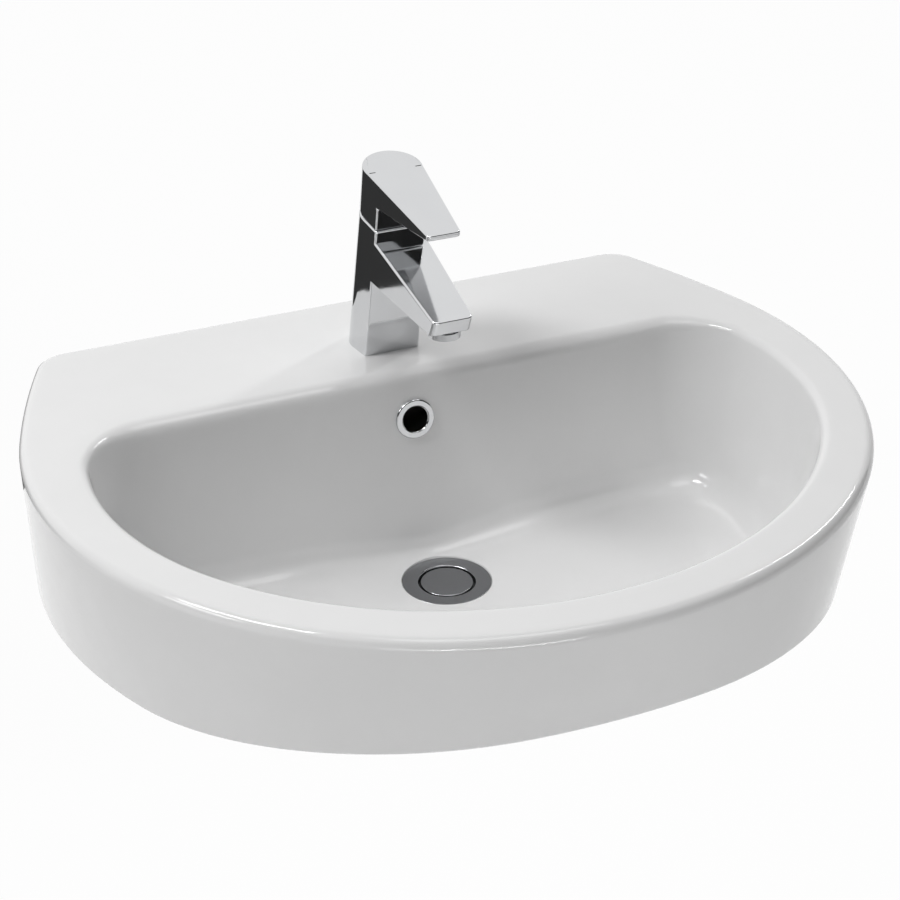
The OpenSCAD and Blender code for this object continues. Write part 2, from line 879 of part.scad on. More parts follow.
// Bright dome that covers the clamp ring
module cartridge_shroud() {
    color("silver") tap_frame() translate([0, 0, 111.5]) difference() {
        union() {
            cylinder(r = 17.7, h = 1.5);
            translate([0, 0, 1.5]) cylinder(r1 = 17, r2 = 13, h = 3);
        }
        translate([0, 0, -1]) cylinder(r = 11.5, h = 8);
        translate([0, 0, -1]) cylinder(r1 = 15.8, r2 = 11.5, h = 4);
    }
}

// Carrier that turns in the housing and holds the pivot pin
module cartridge_carrier() {
    color("gray") tap_frame() difference() {
        union() {
            translate([0, 0, carrier_h + part_gap]) cylinder(r = carrier_r, h = 7);
            translate([0, 0, 103]) cylinder(r = 9, h = 9);
        }
        translate([-4.2, -12, 98.6]) cube([8.4, 24, 20]);
        translate([-12, 0, pivot_h]) rotate([0, 90, 0]) cylinder(r = pin_r, h = 24);
    }
}

// Pin that the lever rocks on
module pivot_pin() {
    color("silver") tap_frame() translate([-8.6, 0, pivot_h]) rotate([0, 90, 0]) cylinder(r = pin_r, h = 17.2);
}

// Square stem from the pivot up into the lever
module lever_stem() {
    color("silver") tap_frame() difference() {
        union() {
            translate([-4, -4.5, 103]) cube([8, 9, 29]);
            translate([-4, 0, 103]) rotate([0, 90, 0]) cylinder(r = 3.4, h = 8);
        }
        translate([-6, 0, pivot_h]) rotate([0, 90, 0]) cylinder(r = pin_r + slide_gap, h = 12);
    }
}

// Lever

// Plan of the lever: round back, straight sides that close in, soft tip corners
module lever_plan() {
    s = 0.0985;
    x0 = lever_r;
    xt = x0 - lever_reach * s;
    circle(r = x0);
    polygon([
        [-x0 + 0.1, 2], [-x0 + 0.06, 0], [-xt, tip_r - lever_reach], [tip_r - xt, -lever_reach],
        [xt - tip_r, -lever_reach], [xt, tip_r - lever_reach], [x0 - 0.06, 0], [x0 - 0.1, 2]
    ]);
    for (x = [tip_r - xt, xt - tip_r])
        translate([x, tip_r - lever_reach]) circle(r = tip_r);
}

// Side view of the lever: deep cap with a relieved heel, arm that thins to the tip
module lever_side() {
    polygon([
        [-lever_reach - 1, lever_top], [-lever_reach - 1, lever_top - tip_t],
        [0.6 - tower_front, arm_root_h], [-tower_front, arm_root_h - 0.8],
        [-tower_front, lever_low], [0, lever_low], [26, heel_h], [26, lever_top]
    ]);
}

// Cap and arm in one piece, with the socket and screw holes
module lever() {
    color("silver") tap_frame() difference() {
        intersection() {
            translate([0, 0, 110]) linear_extrude(50) lever_plan();
            rotate([90, 0, 90]) translate([0, 0, -40]) linear_extrude(80) lever_side();
        }
        difference() {
            translate([0, 0, 105]) cylinder(r = 18.2, h = 42.5);
            translate([-8, -8, 122]) cube([16, 20, 30]);
        }
        translate([-4, -4.5, 110]) cube([8, 9, 22]);
        translate([0, 3, screw_h]) rotate([-90, 0, 0]) cylinder(r = screw_r, h = 12);
        translate([0, 14, screw_h]) rotate([-90, 0, 0]) cylinder(r = screw_cap_r, h = 12);
        for (x = [-17.6, 17.6])
            translate([x - 2.3, -5.4, lever_top - 0.4]) cube([4.6, 0.9, 2]);
    }
}

// Grub screw that grips the stem
module lever_screw() {
    color("dimgray") tap_frame() translate([0, 4.5, screw_h]) rotate([-90, 0, 0]) difference() {
        cylinder(r = screw_r, h = 6.5);
        translate([0, 0, 4]) linear_extrude(4) polygon(hex_points(2.5));
    }
}

// Small plug that hides the screw hole at the back
module lever_screw_cap() {
    color("gray") tap_frame() translate([0, 17.9, screw_h]) rotate([-90, 0, 0]) cylinder(r = screw_cap_r, h = 3.8);
}

// Aerator

// Round housing below the spout
module aerator_housing() {
    color("silver") rim_frame() translate([0, -aerator_y, 56.4]) difference() {
        union() {
            cylinder(r = 11.5, h = 4.9);
            cylinder(r = aerator_neck_r, h = 9.6);
        }
        translate([0, 0, -1]) cylinder(r = insert_r, h = 12);
    }
}

// Insert with a ring of slots and a fine outlet
module aerator_insert() {
    color("ivory") rim_frame() translate([0, -aerator_y, 57.2]) difference() {
        cylinder(r = insert_r, h = 8.8);
        for (i = [0:7])
            rotate([0, 0, 45 * i]) translate([5.6, 0, -1]) cylinder(r = 1.1, h = 7);
        for (i = [0:3])
            rotate([0, 0, 90 * i + 22.5]) translate([2.5, 0, -1]) cylinder(r = 1.0, h = 7);
        translate([0, 0, 5]) cylinder(r = 7.2, h = 8);
    }
}

// Wall fixing

// Flanged bushes that centre the wall's bolts in the ceramic
module wall_bushes() {
    color("white") for (x = [-fix_spacing / 2, fix_spacing / 2])
        translate([x, 0, 0]) rotate([90, 0, 0]) difference() {
            union() {
                cylinder(r = bush_r, h = back_t + 3);
                translate([0, 0, back_t]) cylinder(r = 17, h = 3);
            }
            translate([0, 0, -1]) cylinder(d = bush_bore, h = back_t + 6);
        }
}
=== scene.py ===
"""Wall-hung ceramic basin with a single-lever mixer tap and a pop-up waste.

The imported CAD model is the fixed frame. The ceramic is lofted here from the measured outlines,
the tap's body and lever get the soft edges of a polished casting, threads and the outlet's grid
are grown by Geometry Nodes, and every other solid is carried over with a finish of its own.
"""

from __future__ import annotations

import logging
import math
from dataclasses import dataclass
from enum import Enum
from typing import Any, Callable, Sequence

import bmesh
import bpy
import numpy as np
from bmesh.types import BMesh
from bpy.types import GeometryNodeTree, Material, Mesh, Node, NodeSocket, NodeTree, Object
from mathutils import Matrix, Vector


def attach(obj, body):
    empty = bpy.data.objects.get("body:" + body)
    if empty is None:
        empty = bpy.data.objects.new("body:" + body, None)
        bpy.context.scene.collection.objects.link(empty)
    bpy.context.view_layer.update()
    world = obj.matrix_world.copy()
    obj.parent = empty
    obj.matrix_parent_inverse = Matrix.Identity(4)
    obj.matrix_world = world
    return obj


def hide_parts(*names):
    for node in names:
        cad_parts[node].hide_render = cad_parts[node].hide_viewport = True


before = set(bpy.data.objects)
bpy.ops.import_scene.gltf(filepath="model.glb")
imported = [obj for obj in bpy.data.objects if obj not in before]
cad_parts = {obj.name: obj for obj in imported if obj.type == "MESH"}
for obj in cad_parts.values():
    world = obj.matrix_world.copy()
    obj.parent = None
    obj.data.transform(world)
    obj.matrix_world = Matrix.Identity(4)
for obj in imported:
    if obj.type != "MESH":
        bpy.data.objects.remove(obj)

LOG = logging.getLogger("basin")
# Height of the rim's top over the wall-fixing holes, in millimetres
RIM_Z = 95.0

Pair = tuple[float, float]
Triple = tuple[float, float, float]
# Lowest and highest corner of a box, or the two ends of a line
Box = tuple[Triple, Triple]
# Radius and height of each corner of a turned body, from the bottom to the top
Profile = Sequence[Pair]


# Small helpers


def metres(points: np.ndarray) -> np.ndarray:
    """Turns millimetres in the rim's frame into metres in the part's frame.

    Args:
        points: An array whose last axis holds x, y and z, with z counted from the rim top.

    Returns:
        The same points in metres, with z counted from the wall-fixing holes.
    """
    return (points + np.array([0.0, 0.0, RIM_Z])) / 1000.0


def linear(hex_colour: str) -> tuple[float, float, float, float]:
    """Turns an sRGB hex colour into linear light.

    Args:
        hex_colour: Six hex digits with a leading hash.

    Returns:
        Red, green, blue and alpha for a colour socket.
    """
    parts = [int(hex_colour[i : i + 2], 16) / 255.0 for i in (1, 3, 5)]
    lin = [p / 12.92 if p <= 0.04045 else ((p + 0.055) / 1.055) ** 2.4 for p in parts]
    return (lin[0], lin[1], lin[2], 1.0)


def add_node(tree: NodeTree, kind: str, inputs: dict[Any, Any] | None = None, **settings: Any) -> Node:
    """Adds one node with its settings and links.

    Args:
        tree: The node tree that gets the node.
        kind: The node's class name.
        inputs: Values or output sockets by input name or index.
        **settings: Attributes of the node itself.

    Returns:
        The new node.
    """
    node = tree.nodes.new(kind)
    for key, value in settings.items():
        setattr(node, key, value)
    for key, value in (inputs or {}).items():
        if isinstance(value, NodeSocket):
            tree.links.new(value, node.inputs[key])
        else:
            node.inputs[key].default_value = value
    return node


def fresh_tree(owner: Any, kind: str) -> tuple[NodeTree, Node]:
    """Gives a material or the surroundings an empty tree with its output.

    Args:
        owner: The material or the surroundings.
        kind: The output node's kind.

    Returns:
        The tree and its output.
    """
    owner.use_nodes = True
    owner.node_tree.nodes.clear()
    return owner.node_tree, add_node(owner.node_tree, kind)


def noise(
    tree: NodeTree, place: NodeSocket, scale: float, detail: float, roughness: float = 0.5
) -> NodeSocket:
    """Adds a noise pattern.

    Args:
        tree: The node tree that gets the node.
        place: Coordinates in metres.
        scale: Features per metre.
        detail: Octaves of detail.
        roughness: Weight of the finer octaves.

    Returns:
        The pattern's socket.
    """
    values = {"Vector": place, "Scale": scale, "Detail": detail, "Roughness": roughness}
    return add_node(tree, "ShaderNodeTexNoise", values).outputs["Fac"]


def blend(tree: NodeTree, factor: NodeSocket, first: Any, second: Any) -> NodeSocket:
    """Mixes two colours.

    Args:
        tree: The node tree that gets the node.
        factor: Share of the second colour.
        first: Colour or socket at 0.
        second: Colour or socket at 1.

    Returns:
        The mixed colour's socket.
    """
    values = {"Factor": factor, 6: first, 7: second}
    return add_node(tree, "ShaderNodeMix", values, data_type="RGBA").outputs[2]


def compute(tree: NodeTree, operation: str, first: Any, second: Any) -> NodeSocket:
    """Adds a math node.

    Args:
        tree: The node tree that gets the node.
        operation: What it does.
        first: First value or socket.
        second: Second value or socket.

    Returns:
        The result's socket.
    """
    return add_node(tree, "ShaderNodeMath", {0: first, 1: second}, operation=operation).outputs[0]


def mesh_object(name: str, vertices: np.ndarray, faces: Sequence[Sequence[int]]) -> Object:
    """Makes an object at the origin from vertices in metres.

    Args:
        name: The piece's name.
        vertices: Points in the part's frame, in metres.
        faces: Vertex numbers of each face.

    Returns:
        The new object, linked to the scene.
    """
    mesh = bpy.data.meshes.new(name)
    mesh.from_pydata([tuple(v) for v in vertices], [], [tuple(f) for f in faces])
    mesh.validate()
    piece = bpy.data.objects.new(name, mesh)
    bpy.context.scene.collection.objects.link(piece)
    return piece


def face_outwards(mesh: Mesh) -> None:
    """Recalculates a closed mesh's normals so that they point outwards.

    Args:
        mesh: The mesh to change in place.
    """
    bm = bmesh.new()
    bm.from_mesh(mesh)
    bmesh.ops.recalc_face_normals(bm, faces=bm.faces)
    if bm.calc_volume(signed=True) < 0:
        bmesh.ops.reverse_faces(bm, faces=bm.faces)
    bm.to_mesh(mesh)
    bm.free()


def shade(mesh: Mesh, sharp_deg: float) -> None:
    """Shades a mesh smooth, with edges sharper than an angle kept crisp.

    Args:
        mesh: The mesh to change in place.
        sharp_deg: Angle between faces above which an edge stays sharp.
    """
    bm = bmesh.new()
    bm.from_mesh(mesh)
    limit = math.radians(sharp_deg)
    for face in bm.faces:
        face.smooth = True
    for edge in bm.edges:
        if len(edge.link_faces) == 2:
            edge.smooth = edge.calc_face_angle(0.0) < limit
    bm.to_mesh(mesh)
    bm.free()


def settle(piece: Object) -> None:
    """Turns what an object's modifiers give into its plain mesh and removes them.

    Args:
        piece: The object whose modifiers are used up.
    """
    graph = bpy.context.evaluated_depsgraph_get()
    mesh = bpy.data.meshes.new_from_object(piece.evaluated_get(graph))
    mesh.name = piece.name
    piece.modifiers.clear()
    piece.data = mesh


def cut(piece: Object, other: Object, operation: str) -> None:
    """Joins or subtracts a second closed mesh and removes it.

    Args:
        piece: The object that stays.
        other: The object that is used up.
        operation: UNION or DIFFERENCE.
    """
    step = piece.modifiers.new("cut", "BOOLEAN")
    step.operation = operation
    step.solver = "EXACT"
    step.object = other
    settle(piece)
    bpy.data.objects.remove(other, do_unlink=True)


def box_object(name: str, box: Box, turn: Matrix | None = None) -> Object:
    """Makes a plain box for joining and cutting.

    Args:
        name: The object's name.
        box: Its corners in millimetres.
        turn: A placement in the rim's frame, in millimetres.

    Returns:
        The box, in metres in the part's frame.
    """
    low, high = box
    corners = [(x, y, z) for z in (low[2], high[2]) for y in (low[1], high[1]) for x in (low[0], high[0])]
    points = [Vector(c) for c in corners]
    placed = [turn @ p for p in points] if turn else points
    faces = [(0, 2, 3, 1), (4, 5, 7, 6), (0, 1, 5, 4), (2, 6, 7, 3), (0, 4, 6, 2), (1, 3, 7, 5)]
    return mesh_object(name, metres(np.array([tuple(p) for p in placed])), faces)


def turned_object(name: str, profile: Profile, turn: Matrix) -> Object:
    """Makes a closed turned body for joining and cutting.

    Args:
        name: The object's name.
        profile: Its section in millimetres.
        turn: A placement in the rim's frame whose Z is the body's axis.

    Returns:
        The body, in metres in the part's frame.
    """
    count = 96
    rows = []
    for radius, height in profile:
        for i in range(count):
            angle = 2 * math.pi * i / count
            rows.append(turn @ Vector((radius * math.cos(angle), radius * math.sin(angle), height)))
    faces: list[Sequence[int]] = []
    for k in range(len(profile) - 1):
        a, b = k * count, (k + 1) * count
        faces += [(a + i, a + (i + 1) % count, b + (i + 1) % count, b + i) for i in range(count)]
    top = (len(profile) - 1) * count
    faces += [list(range(count))[::-1], list(range(top, top + count))]
    return mesh_object(name, metres(np.array([tuple(p) for p in rows])), faces)


def drill(piece: Object, profile: Profile, turn: Matrix) -> None:
    """Cuts a turned hole.

    Args:
        piece: The piece that gets the hole.
        profile: The hole's section in millimetres.
        turn: A placement in the rim's frame whose Z is the hole's axis.
    """
    cut(piece, turned_object("drill", profile, turn), "DIFFERENCE")


def within(point: Sequence[float], box: Box) -> bool:
    """Says whether a point lies inside a box.

    Args:
        point: Its three places.
        box: The box, whose faces don't count as inside.

    Returns:
        True inside.
    """
    return all(low < place < high for low, place, high in zip(box[0], point, box[1]))


def dress(piece: Object, finish: "Finish", body: str, node: str | None = None) -> None:
    """Gives a piece its finish and its body, and hides the CAD node it stands for.

    Args:
        piece: The piece to dress.
        finish: Its finish.
        body: The body it rides on.
        node: The CAD node it stands for, where it stands for one.
    """
    if not piece.data.materials:
        piece.data.materials.append(finish.material())
    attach(piece, body)
    if node:
        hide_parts(node)


# Finishes


class Texture(Enum):
    """How a surface was made, which decides its fine relief."""

    GLAZED = "glazed"
    PLATED = "plated"
    MOULDED = "moulded"
    TURNED = "turned"


# Depth of each relief in metres
RELIEF_DEPTH = {
    Texture.GLAZED: 0.00025,
    Texture.PLATED: 0.00002,
    Texture.MOULDED: 0.0001,
    Texture.TURNED: 0.00004,
}


@dataclass(frozen=True)
class Finish:
    """One material of the object, named for what it is and how it was made.

    Attributes:
        name: Material name.
        colour: Main sRGB colour.
        shade: Second sRGB colour of its slow variation.
        metallic: 1 for bare metal, 0 for the rest.
        roughness: Typical roughness.
        spread: How far roughness wanders over the surface.
        relief_mm: Size of the fine relief.
        relief: Strength of the fine relief.
        texture: How the surface was made.
        ior: Index of refraction for what isn't metal.
        coat: Weight of a clear glaze or lacquer.
        axis: Turning axis in metres, for a turned surface: a point on it.
    """

    name: str
    colour: str
    shade: str
    metallic: float = 0.0
    roughness: float = 0.4
    spread: float = 0.04
    relief_mm: float = 1.0
    relief: float = 0.05
    texture: Texture = Texture.MOULDED
    ior: float = 1.5
    coat: float = 0.0
    axis: Triple = (0.0, 0.0, 0.0)

    def material(self) -> Material:
        """Builds the material the first time it is asked for.

        Returns:
            The material.
        """
        found = bpy.data.materials.get(self.name)
        if found:
            return found
        material = bpy.data.materials.new(self.name)
        tree, out = fresh_tree(material, "ShaderNodeOutputMaterial")
        place = add_node(tree, "ShaderNodeTexCoord").outputs["Object"]
        surface = self.surface(tree, place)
        tree.links.new(surface.outputs["BSDF"], out.inputs["Surface"])
        material.diffuse_color = linear(self.colour)
        return material

    def surface(self, tree: NodeTree, place: NodeSocket) -> Node:
        """Builds the shader with its colour, roughness and relief.

        Args:
            tree: The material's tree.
            place: Object coordinates in metres.

        Returns:
            The shader node.
        """
        # Slow change of colour over about 40 mm, as any cast or moulded surface has
        tint = blend(tree, noise(tree, place, 25.0, 3.0, 0.55), linear(self.colour), linear(self.shade))
        # Finger marks and water traces of 4 to 8 mm, which only move the roughness
        marks = noise(tree, place, 160.0, 4.0, 0.6)
        rough = add_node(
            tree,
            "ShaderNodeMapRange",
            {
                "Value": marks,
                "From Min": 0.3,
                "From Max": 0.7,
                "To Min": max(self.roughness - self.spread, 0.02),
                "To Max": self.roughness + self.spread,
            },
        )
        bump = self.fine_relief(tree, place)
        return add_node(
            tree,
            "ShaderNodeBsdfPrincipled",
            {
                "Base Color": tint,
                "Metallic": self.metallic,
                "Roughness": rough.outputs["Result"],
                "IOR": self.ior,
                "Coat Weight": self.coat,
                "Coat Roughness": 0.03,
                "Normal": bump.outputs["Normal"],
            },
        )

    def fine_relief(self, tree: NodeTree, place: NodeSocket) -> Node:
        """Builds the relief that the surface's making leaves.

        Args:
            tree: The material's tree.
            place: Object coordinates in metres.

        Returns:
            The bump node.
        """
        per_metre = 1000.0 / self.relief_mm
        if self.texture is Texture.TURNED:
            to_axis = tuple(-a for a in self.axis)
            centred = add_node(tree, "ShaderNodeMapping", {"Vector": place, "Location": to_axis}).outputs[0]
            height = add_node(
                tree,
                "ShaderNodeTexWave",
                {"Vector": centred, "Scale": per_metre / 6.28, "Distortion": 0.6, "Detail": 1.0},
                wave_type="RINGS",
                rings_direction="Z",
            ).outputs["Fac"]
        elif self.texture is Texture.GLAZED:
            broad, fine = noise(tree, place, 38.0, 2.0), noise(tree, place, per_metre, 1.0)
            height = add_node(tree, "ShaderNodeMix", {"Factor": 0.12, 2: broad, 3: fine}).outputs[0]
        else:
            height = noise(tree, place, per_metre, 2.0)
        values = {"Height": height, "Strength": self.relief, "Distance": RELIEF_DEPTH[self.texture]}
        return add_node(tree, "ShaderNodeBump", values)


@dataclass(frozen=True)
class GlazedCeramic(Finish):
    """Sanitary ceramic: a white glaze where it shows, bare body where it met the kiln and the wall.

    Attributes:
        body: Colour of the bare ceramic body.
        body_dark: Second colour of the bare body's grain.
        body_roughness: Roughness of the bare body.
    """

    body: str = "#d9d4c9"
    body_dark: str = "#c9c3b6"
    body_roughness: float = 0.85

    def surface(self, tree: NodeTree, place: NodeSocket) -> Node:
        """Builds the glaze and mixes the bare body in at the wall face and inside.

        Args:
            tree: The material's tree.
            place: Object coordinates in metres.

        Returns:
            The shader node.
        """
        shader = super().surface(tree, place)
        # The face that meets the wall isn't glazed: the glaze ends between 1.1 and 0.4 mm from it
        depth = add_node(tree, "ShaderNodeSeparateXYZ", {"Vector": place}).outputs["Y"]
        span = {"Value": depth, "From Min": -0.0011, "From Max": -0.0004, "To Min": 0.0, "To Max": 1.0}
        bare = add_node(tree, "ShaderNodeMapRange", span).outputs["Result"]
        body = blend(tree, noise(tree, place, 900.0, 3.0), linear(self.body), linear(self.body_dark))
        glaze = shader.inputs["Base Color"].links[0].from_socket
        tree.links.new(blend(tree, bare, glaze, body), shader.inputs["Base Color"])
        gloss = shader.inputs["Roughness"].links[0].from_socket
        rough = add_node(tree, "ShaderNodeMix", {"Factor": bare, 2: gloss, 3: self.body_roughness})
        tree.links.new(rough.outputs[0], shader.inputs["Roughness"])
        return shader


# White glaze over a fired body: bright, sharp reflections over a slightly wavy surface
CERAMIC = GlazedCeramic(
    "glazed_ceramic_white", "#efefef", "#ebebeb", roughness=0.09, spread=0.02, relief_mm=1.4, relief=0.35,
    texture=Texture.GLAZED, ior=1.52,
)
# Chrome plate on brass, buffed: a neutral mirror with faint water traces
CHROME = Finish(
    "chrome_plated_brass", "#d8d9da", "#d0d1d3", metallic=1.0, roughness=0.07, spread=0.025, relief_mm=0.8,
    relief=0.3, texture=Texture.PLATED,
)
# Thin chrome on the pressed waste: darker than the tap and dulled a little by limescale
WASTE_CHROME = Finish(
    "chrome_plated_waste", "#999a9c", "#9b9c9f", metallic=1.0, roughness=0.1, spread=0.05, relief_mm=0.5,
    relief=0.25, texture=Texture.TURNED, axis=(0.0, -0.202, -0.0492),
)
# Nearly black colour in the lever's recessed marks, which makes them read dark: flat and dull
DARK_MARK_FILL = Finish("lever_mark_dark_fill", "#2c2d2e", "#252627", roughness=0.45, relief_mm=0.4, relief=0.2)
# Painted shade inside the overflow passage, where no glaze reaches: a near-black colour on the unglazed body
# stands for the shade in the hole
PASSAGE_PAINTED_SHADE = Finish(
    "passage_painted_shade", "#3b3936", "#2e2d2b", roughness=0.9, spread=0.05, relief_mm=0.8, relief=0.6
)
# Cast and turned brass under the nickel: fine rings from the lathe
BRASS = Finish(
    "turned_brass", "#c7a45a", "#b8944c", metallic=1.0, roughness=0.3, spread=0.06, relief_mm=0.35,
    relief=0.6, texture=Texture.TURNED, axis=(0.0, -0.0795, 0.1),
)
# Zinc-plated steel: cool grey with a cloudy sheen
STEEL = Finish(
    "zinc_plated_steel", "#b4b7bb", "#9ea2a8", metallic=1.0, roughness=0.34, spread=0.1, relief_mm=0.6,
    relief=0.3, texture=Texture.PLATED,
)
# Stainless steel pins and screws: cleaner and brighter than zinc
STAINLESS = Finish(
    "turned_stainless_steel", "#c3c4c5", "#b5b6b8", metallic=1.0, roughness=0.24, spread=0.04, relief_mm=0.3,
    relief=0.4, texture=Texture.PLATED,
)
# Moulded rubber seals: dark, dull and slightly bloomed
RUBBER = Finish(
    "moulded_rubber_black", "#2a2b2c", "#3a3a3a", roughness=0.72, spread=0.08, relief_mm=0.5, relief=0.5,
    ior=1.52,
)
# Moulded nylon bushes: milky white with a soft gloss
NYLON = Finish(
    "moulded_nylon_white", "#e9e8e2", "#dddcd4", roughness=0.42, spread=0.06, relief_mm=0.7, relief=0.35,
    ior=1.53,
)
# Moulded acetal latch and cartridge: ivory, waxy
ACETAL = Finish(
    "moulded_acetal_ivory", "#e2dccb", "#d6cfbb", roughness=0.36, spread=0.06, relief_mm=0.6, relief=0.35,
    ior=1.48,
)
# Moulded carrier of the cartridge: grey engineering plastic
GREY_PLASTIC = Finish(
    "moulded_plastic_grey", "#7f8286", "#74777b", roughness=0.38, spread=0.06, relief_mm=0.6, relief=0.4,
    ior=1.5,
)
# Outlet insert: pale moulded plastic with limescale dulling
OUTLET = Finish(
    "moulded_outlet_plastic", "#c9cac8", "#b9bab7", roughness=0.4, spread=0.1, relief_mm=0.5, relief=0.4,
    ior=1.5,
)

# Black felt on the studio's cards: dull and nearly black
FELT = Finish("black_felt_card", "#262626", "#202020", roughness=0.9, relief_mm=2.0, relief=0.4)

NODE_FINISHES: dict[str, Finish] = {
    "overflow_ring": CHROME,
    "plug_cap": WASTE_CHROME,
    "waste_nut": BRASS,
    "waste_upper_seal": RUBBER,
    "waste_lower_seal": RUBBER,
    "waste_slip_washer": NYLON,
    "plug_latch": ACETAL,
    "plug_stem": STAINLESS,
    "plug_seal": RUBBER,
    "base_gasket": RUBBER,
    "fixing_stud": STEEL,
    "horseshoe_gasket": RUBBER,
    "horseshoe_washer": STEEL,
    "fixing_nut": BRASS,
    "cartridge_body": ACETAL,
    "cartridge_seals": RUBBER,
    "clamp_ring": BRASS,
    "cartridge_shroud": CHROME,
    "cartridge_carrier": GREY_PLASTIC,
    "pivot_pin": STAINLESS,
    "lever_stem": STAINLESS,
    "lever_screw": STAINLESS,
    "lever_screw_cap": GREY_PLASTIC,
    "aerator_housing": CHROME,
    "aerator_insert": OUTLET,
    "wall_bushes": NYLON,
}


# Ceramic


@dataclass(frozen=True)
class Arc:
    """An arc of an outline's right half, in plan.

    Attributes:
        x: Centre across.
        y: Centre along the depth.
        r: Radius.
        end: Where it hands over, in degrees counted from the front.
    """

    x: float
    y: float
    r: float
    end: float


@dataclass(frozen=True)
class Outline:
    """Right half of a symmetric outline: tangent arcs and a straight back.

    Attributes:
        arcs: The arcs from the front to the back.
    """

    arcs: tuple[Arc, ...]

    def points(self, turn: np.ndarray, back: np.ndarray) -> np.ndarray:
        """Samples the whole closed outline.

        Args:
            turn: Directions in degrees from 0 to 180 for the arcs.
            back: Shares from the corner to the middle of the straight back.

        Returns:
            Plan points, right half from the front, then the left half back to the front.
        """
        out = np.zeros((len(turn), 2))
        start = -1.0
        for arc in self.arcs:
            pick = (turn > start) & (turn <= arc.end + 1e-9)
            rad = np.radians(turn[pick])
            out[pick] = np.c_[arc.x + arc.r * np.sin(rad), arc.y - arc.r * np.cos(rad)]
            start = arc.end
        corner = out[-1]
        straight = np.c_[corner[0] * (1 - back), np.full(len(back), corner[1])]
        right = np.vstack([out, straight])
        left = right[1:-1][::-1] * np.array([-1.0, 1.0])
        return np.vstack([right, left])

    def closed_by(self, wall_y: float, corner_r: float) -> "Outline":
        """Adds the corner at the wall after the last arc.

        Args:
            wall_y: Where the straight back lies.
            corner_r: Radius of the corner.

        Returns:
            The outline with its corner.
        """
        last = self.arcs[-1]
        y = wall_y - corner_r
        x = last.x + math.sqrt((last.r - corner_r) ** 2 - (y - last.y) ** 2)
        end = math.degrees(math.atan2(x - last.x, -(y - last.y)))
        kept = self.arcs[:-1] + (Arc(last.x, last.y, last.r, end),)
        return Outline(kept + (Arc(x, y, corner_r, 180.0),))

    def inset(self, t: float) -> "Outline":
        """Moves every arc inward by the same distance."""
        return Outline(tuple(Arc(a.x, a.y, a.r - t, a.end) for a in self.arcs))


@dataclass
class Plans:
    """Plan points of the basin's outlines, with one row per direction.

    Attributes:
        rim: The rim's outer edge.
        hem: The apron's lower edge.
        bowl: The bowl's opening.
        hem_in: The lower edge on the apron's inside.
        roof_in: Where the apron's inside meets the deck.
        out: Unit vectors that point away from the bowl.
    """

    rim: np.ndarray
    hem: np.ndarray
    bowl: np.ndarray
    hem_in: np.ndarray
    roof_in: np.ndarray
    out: np.ndarray


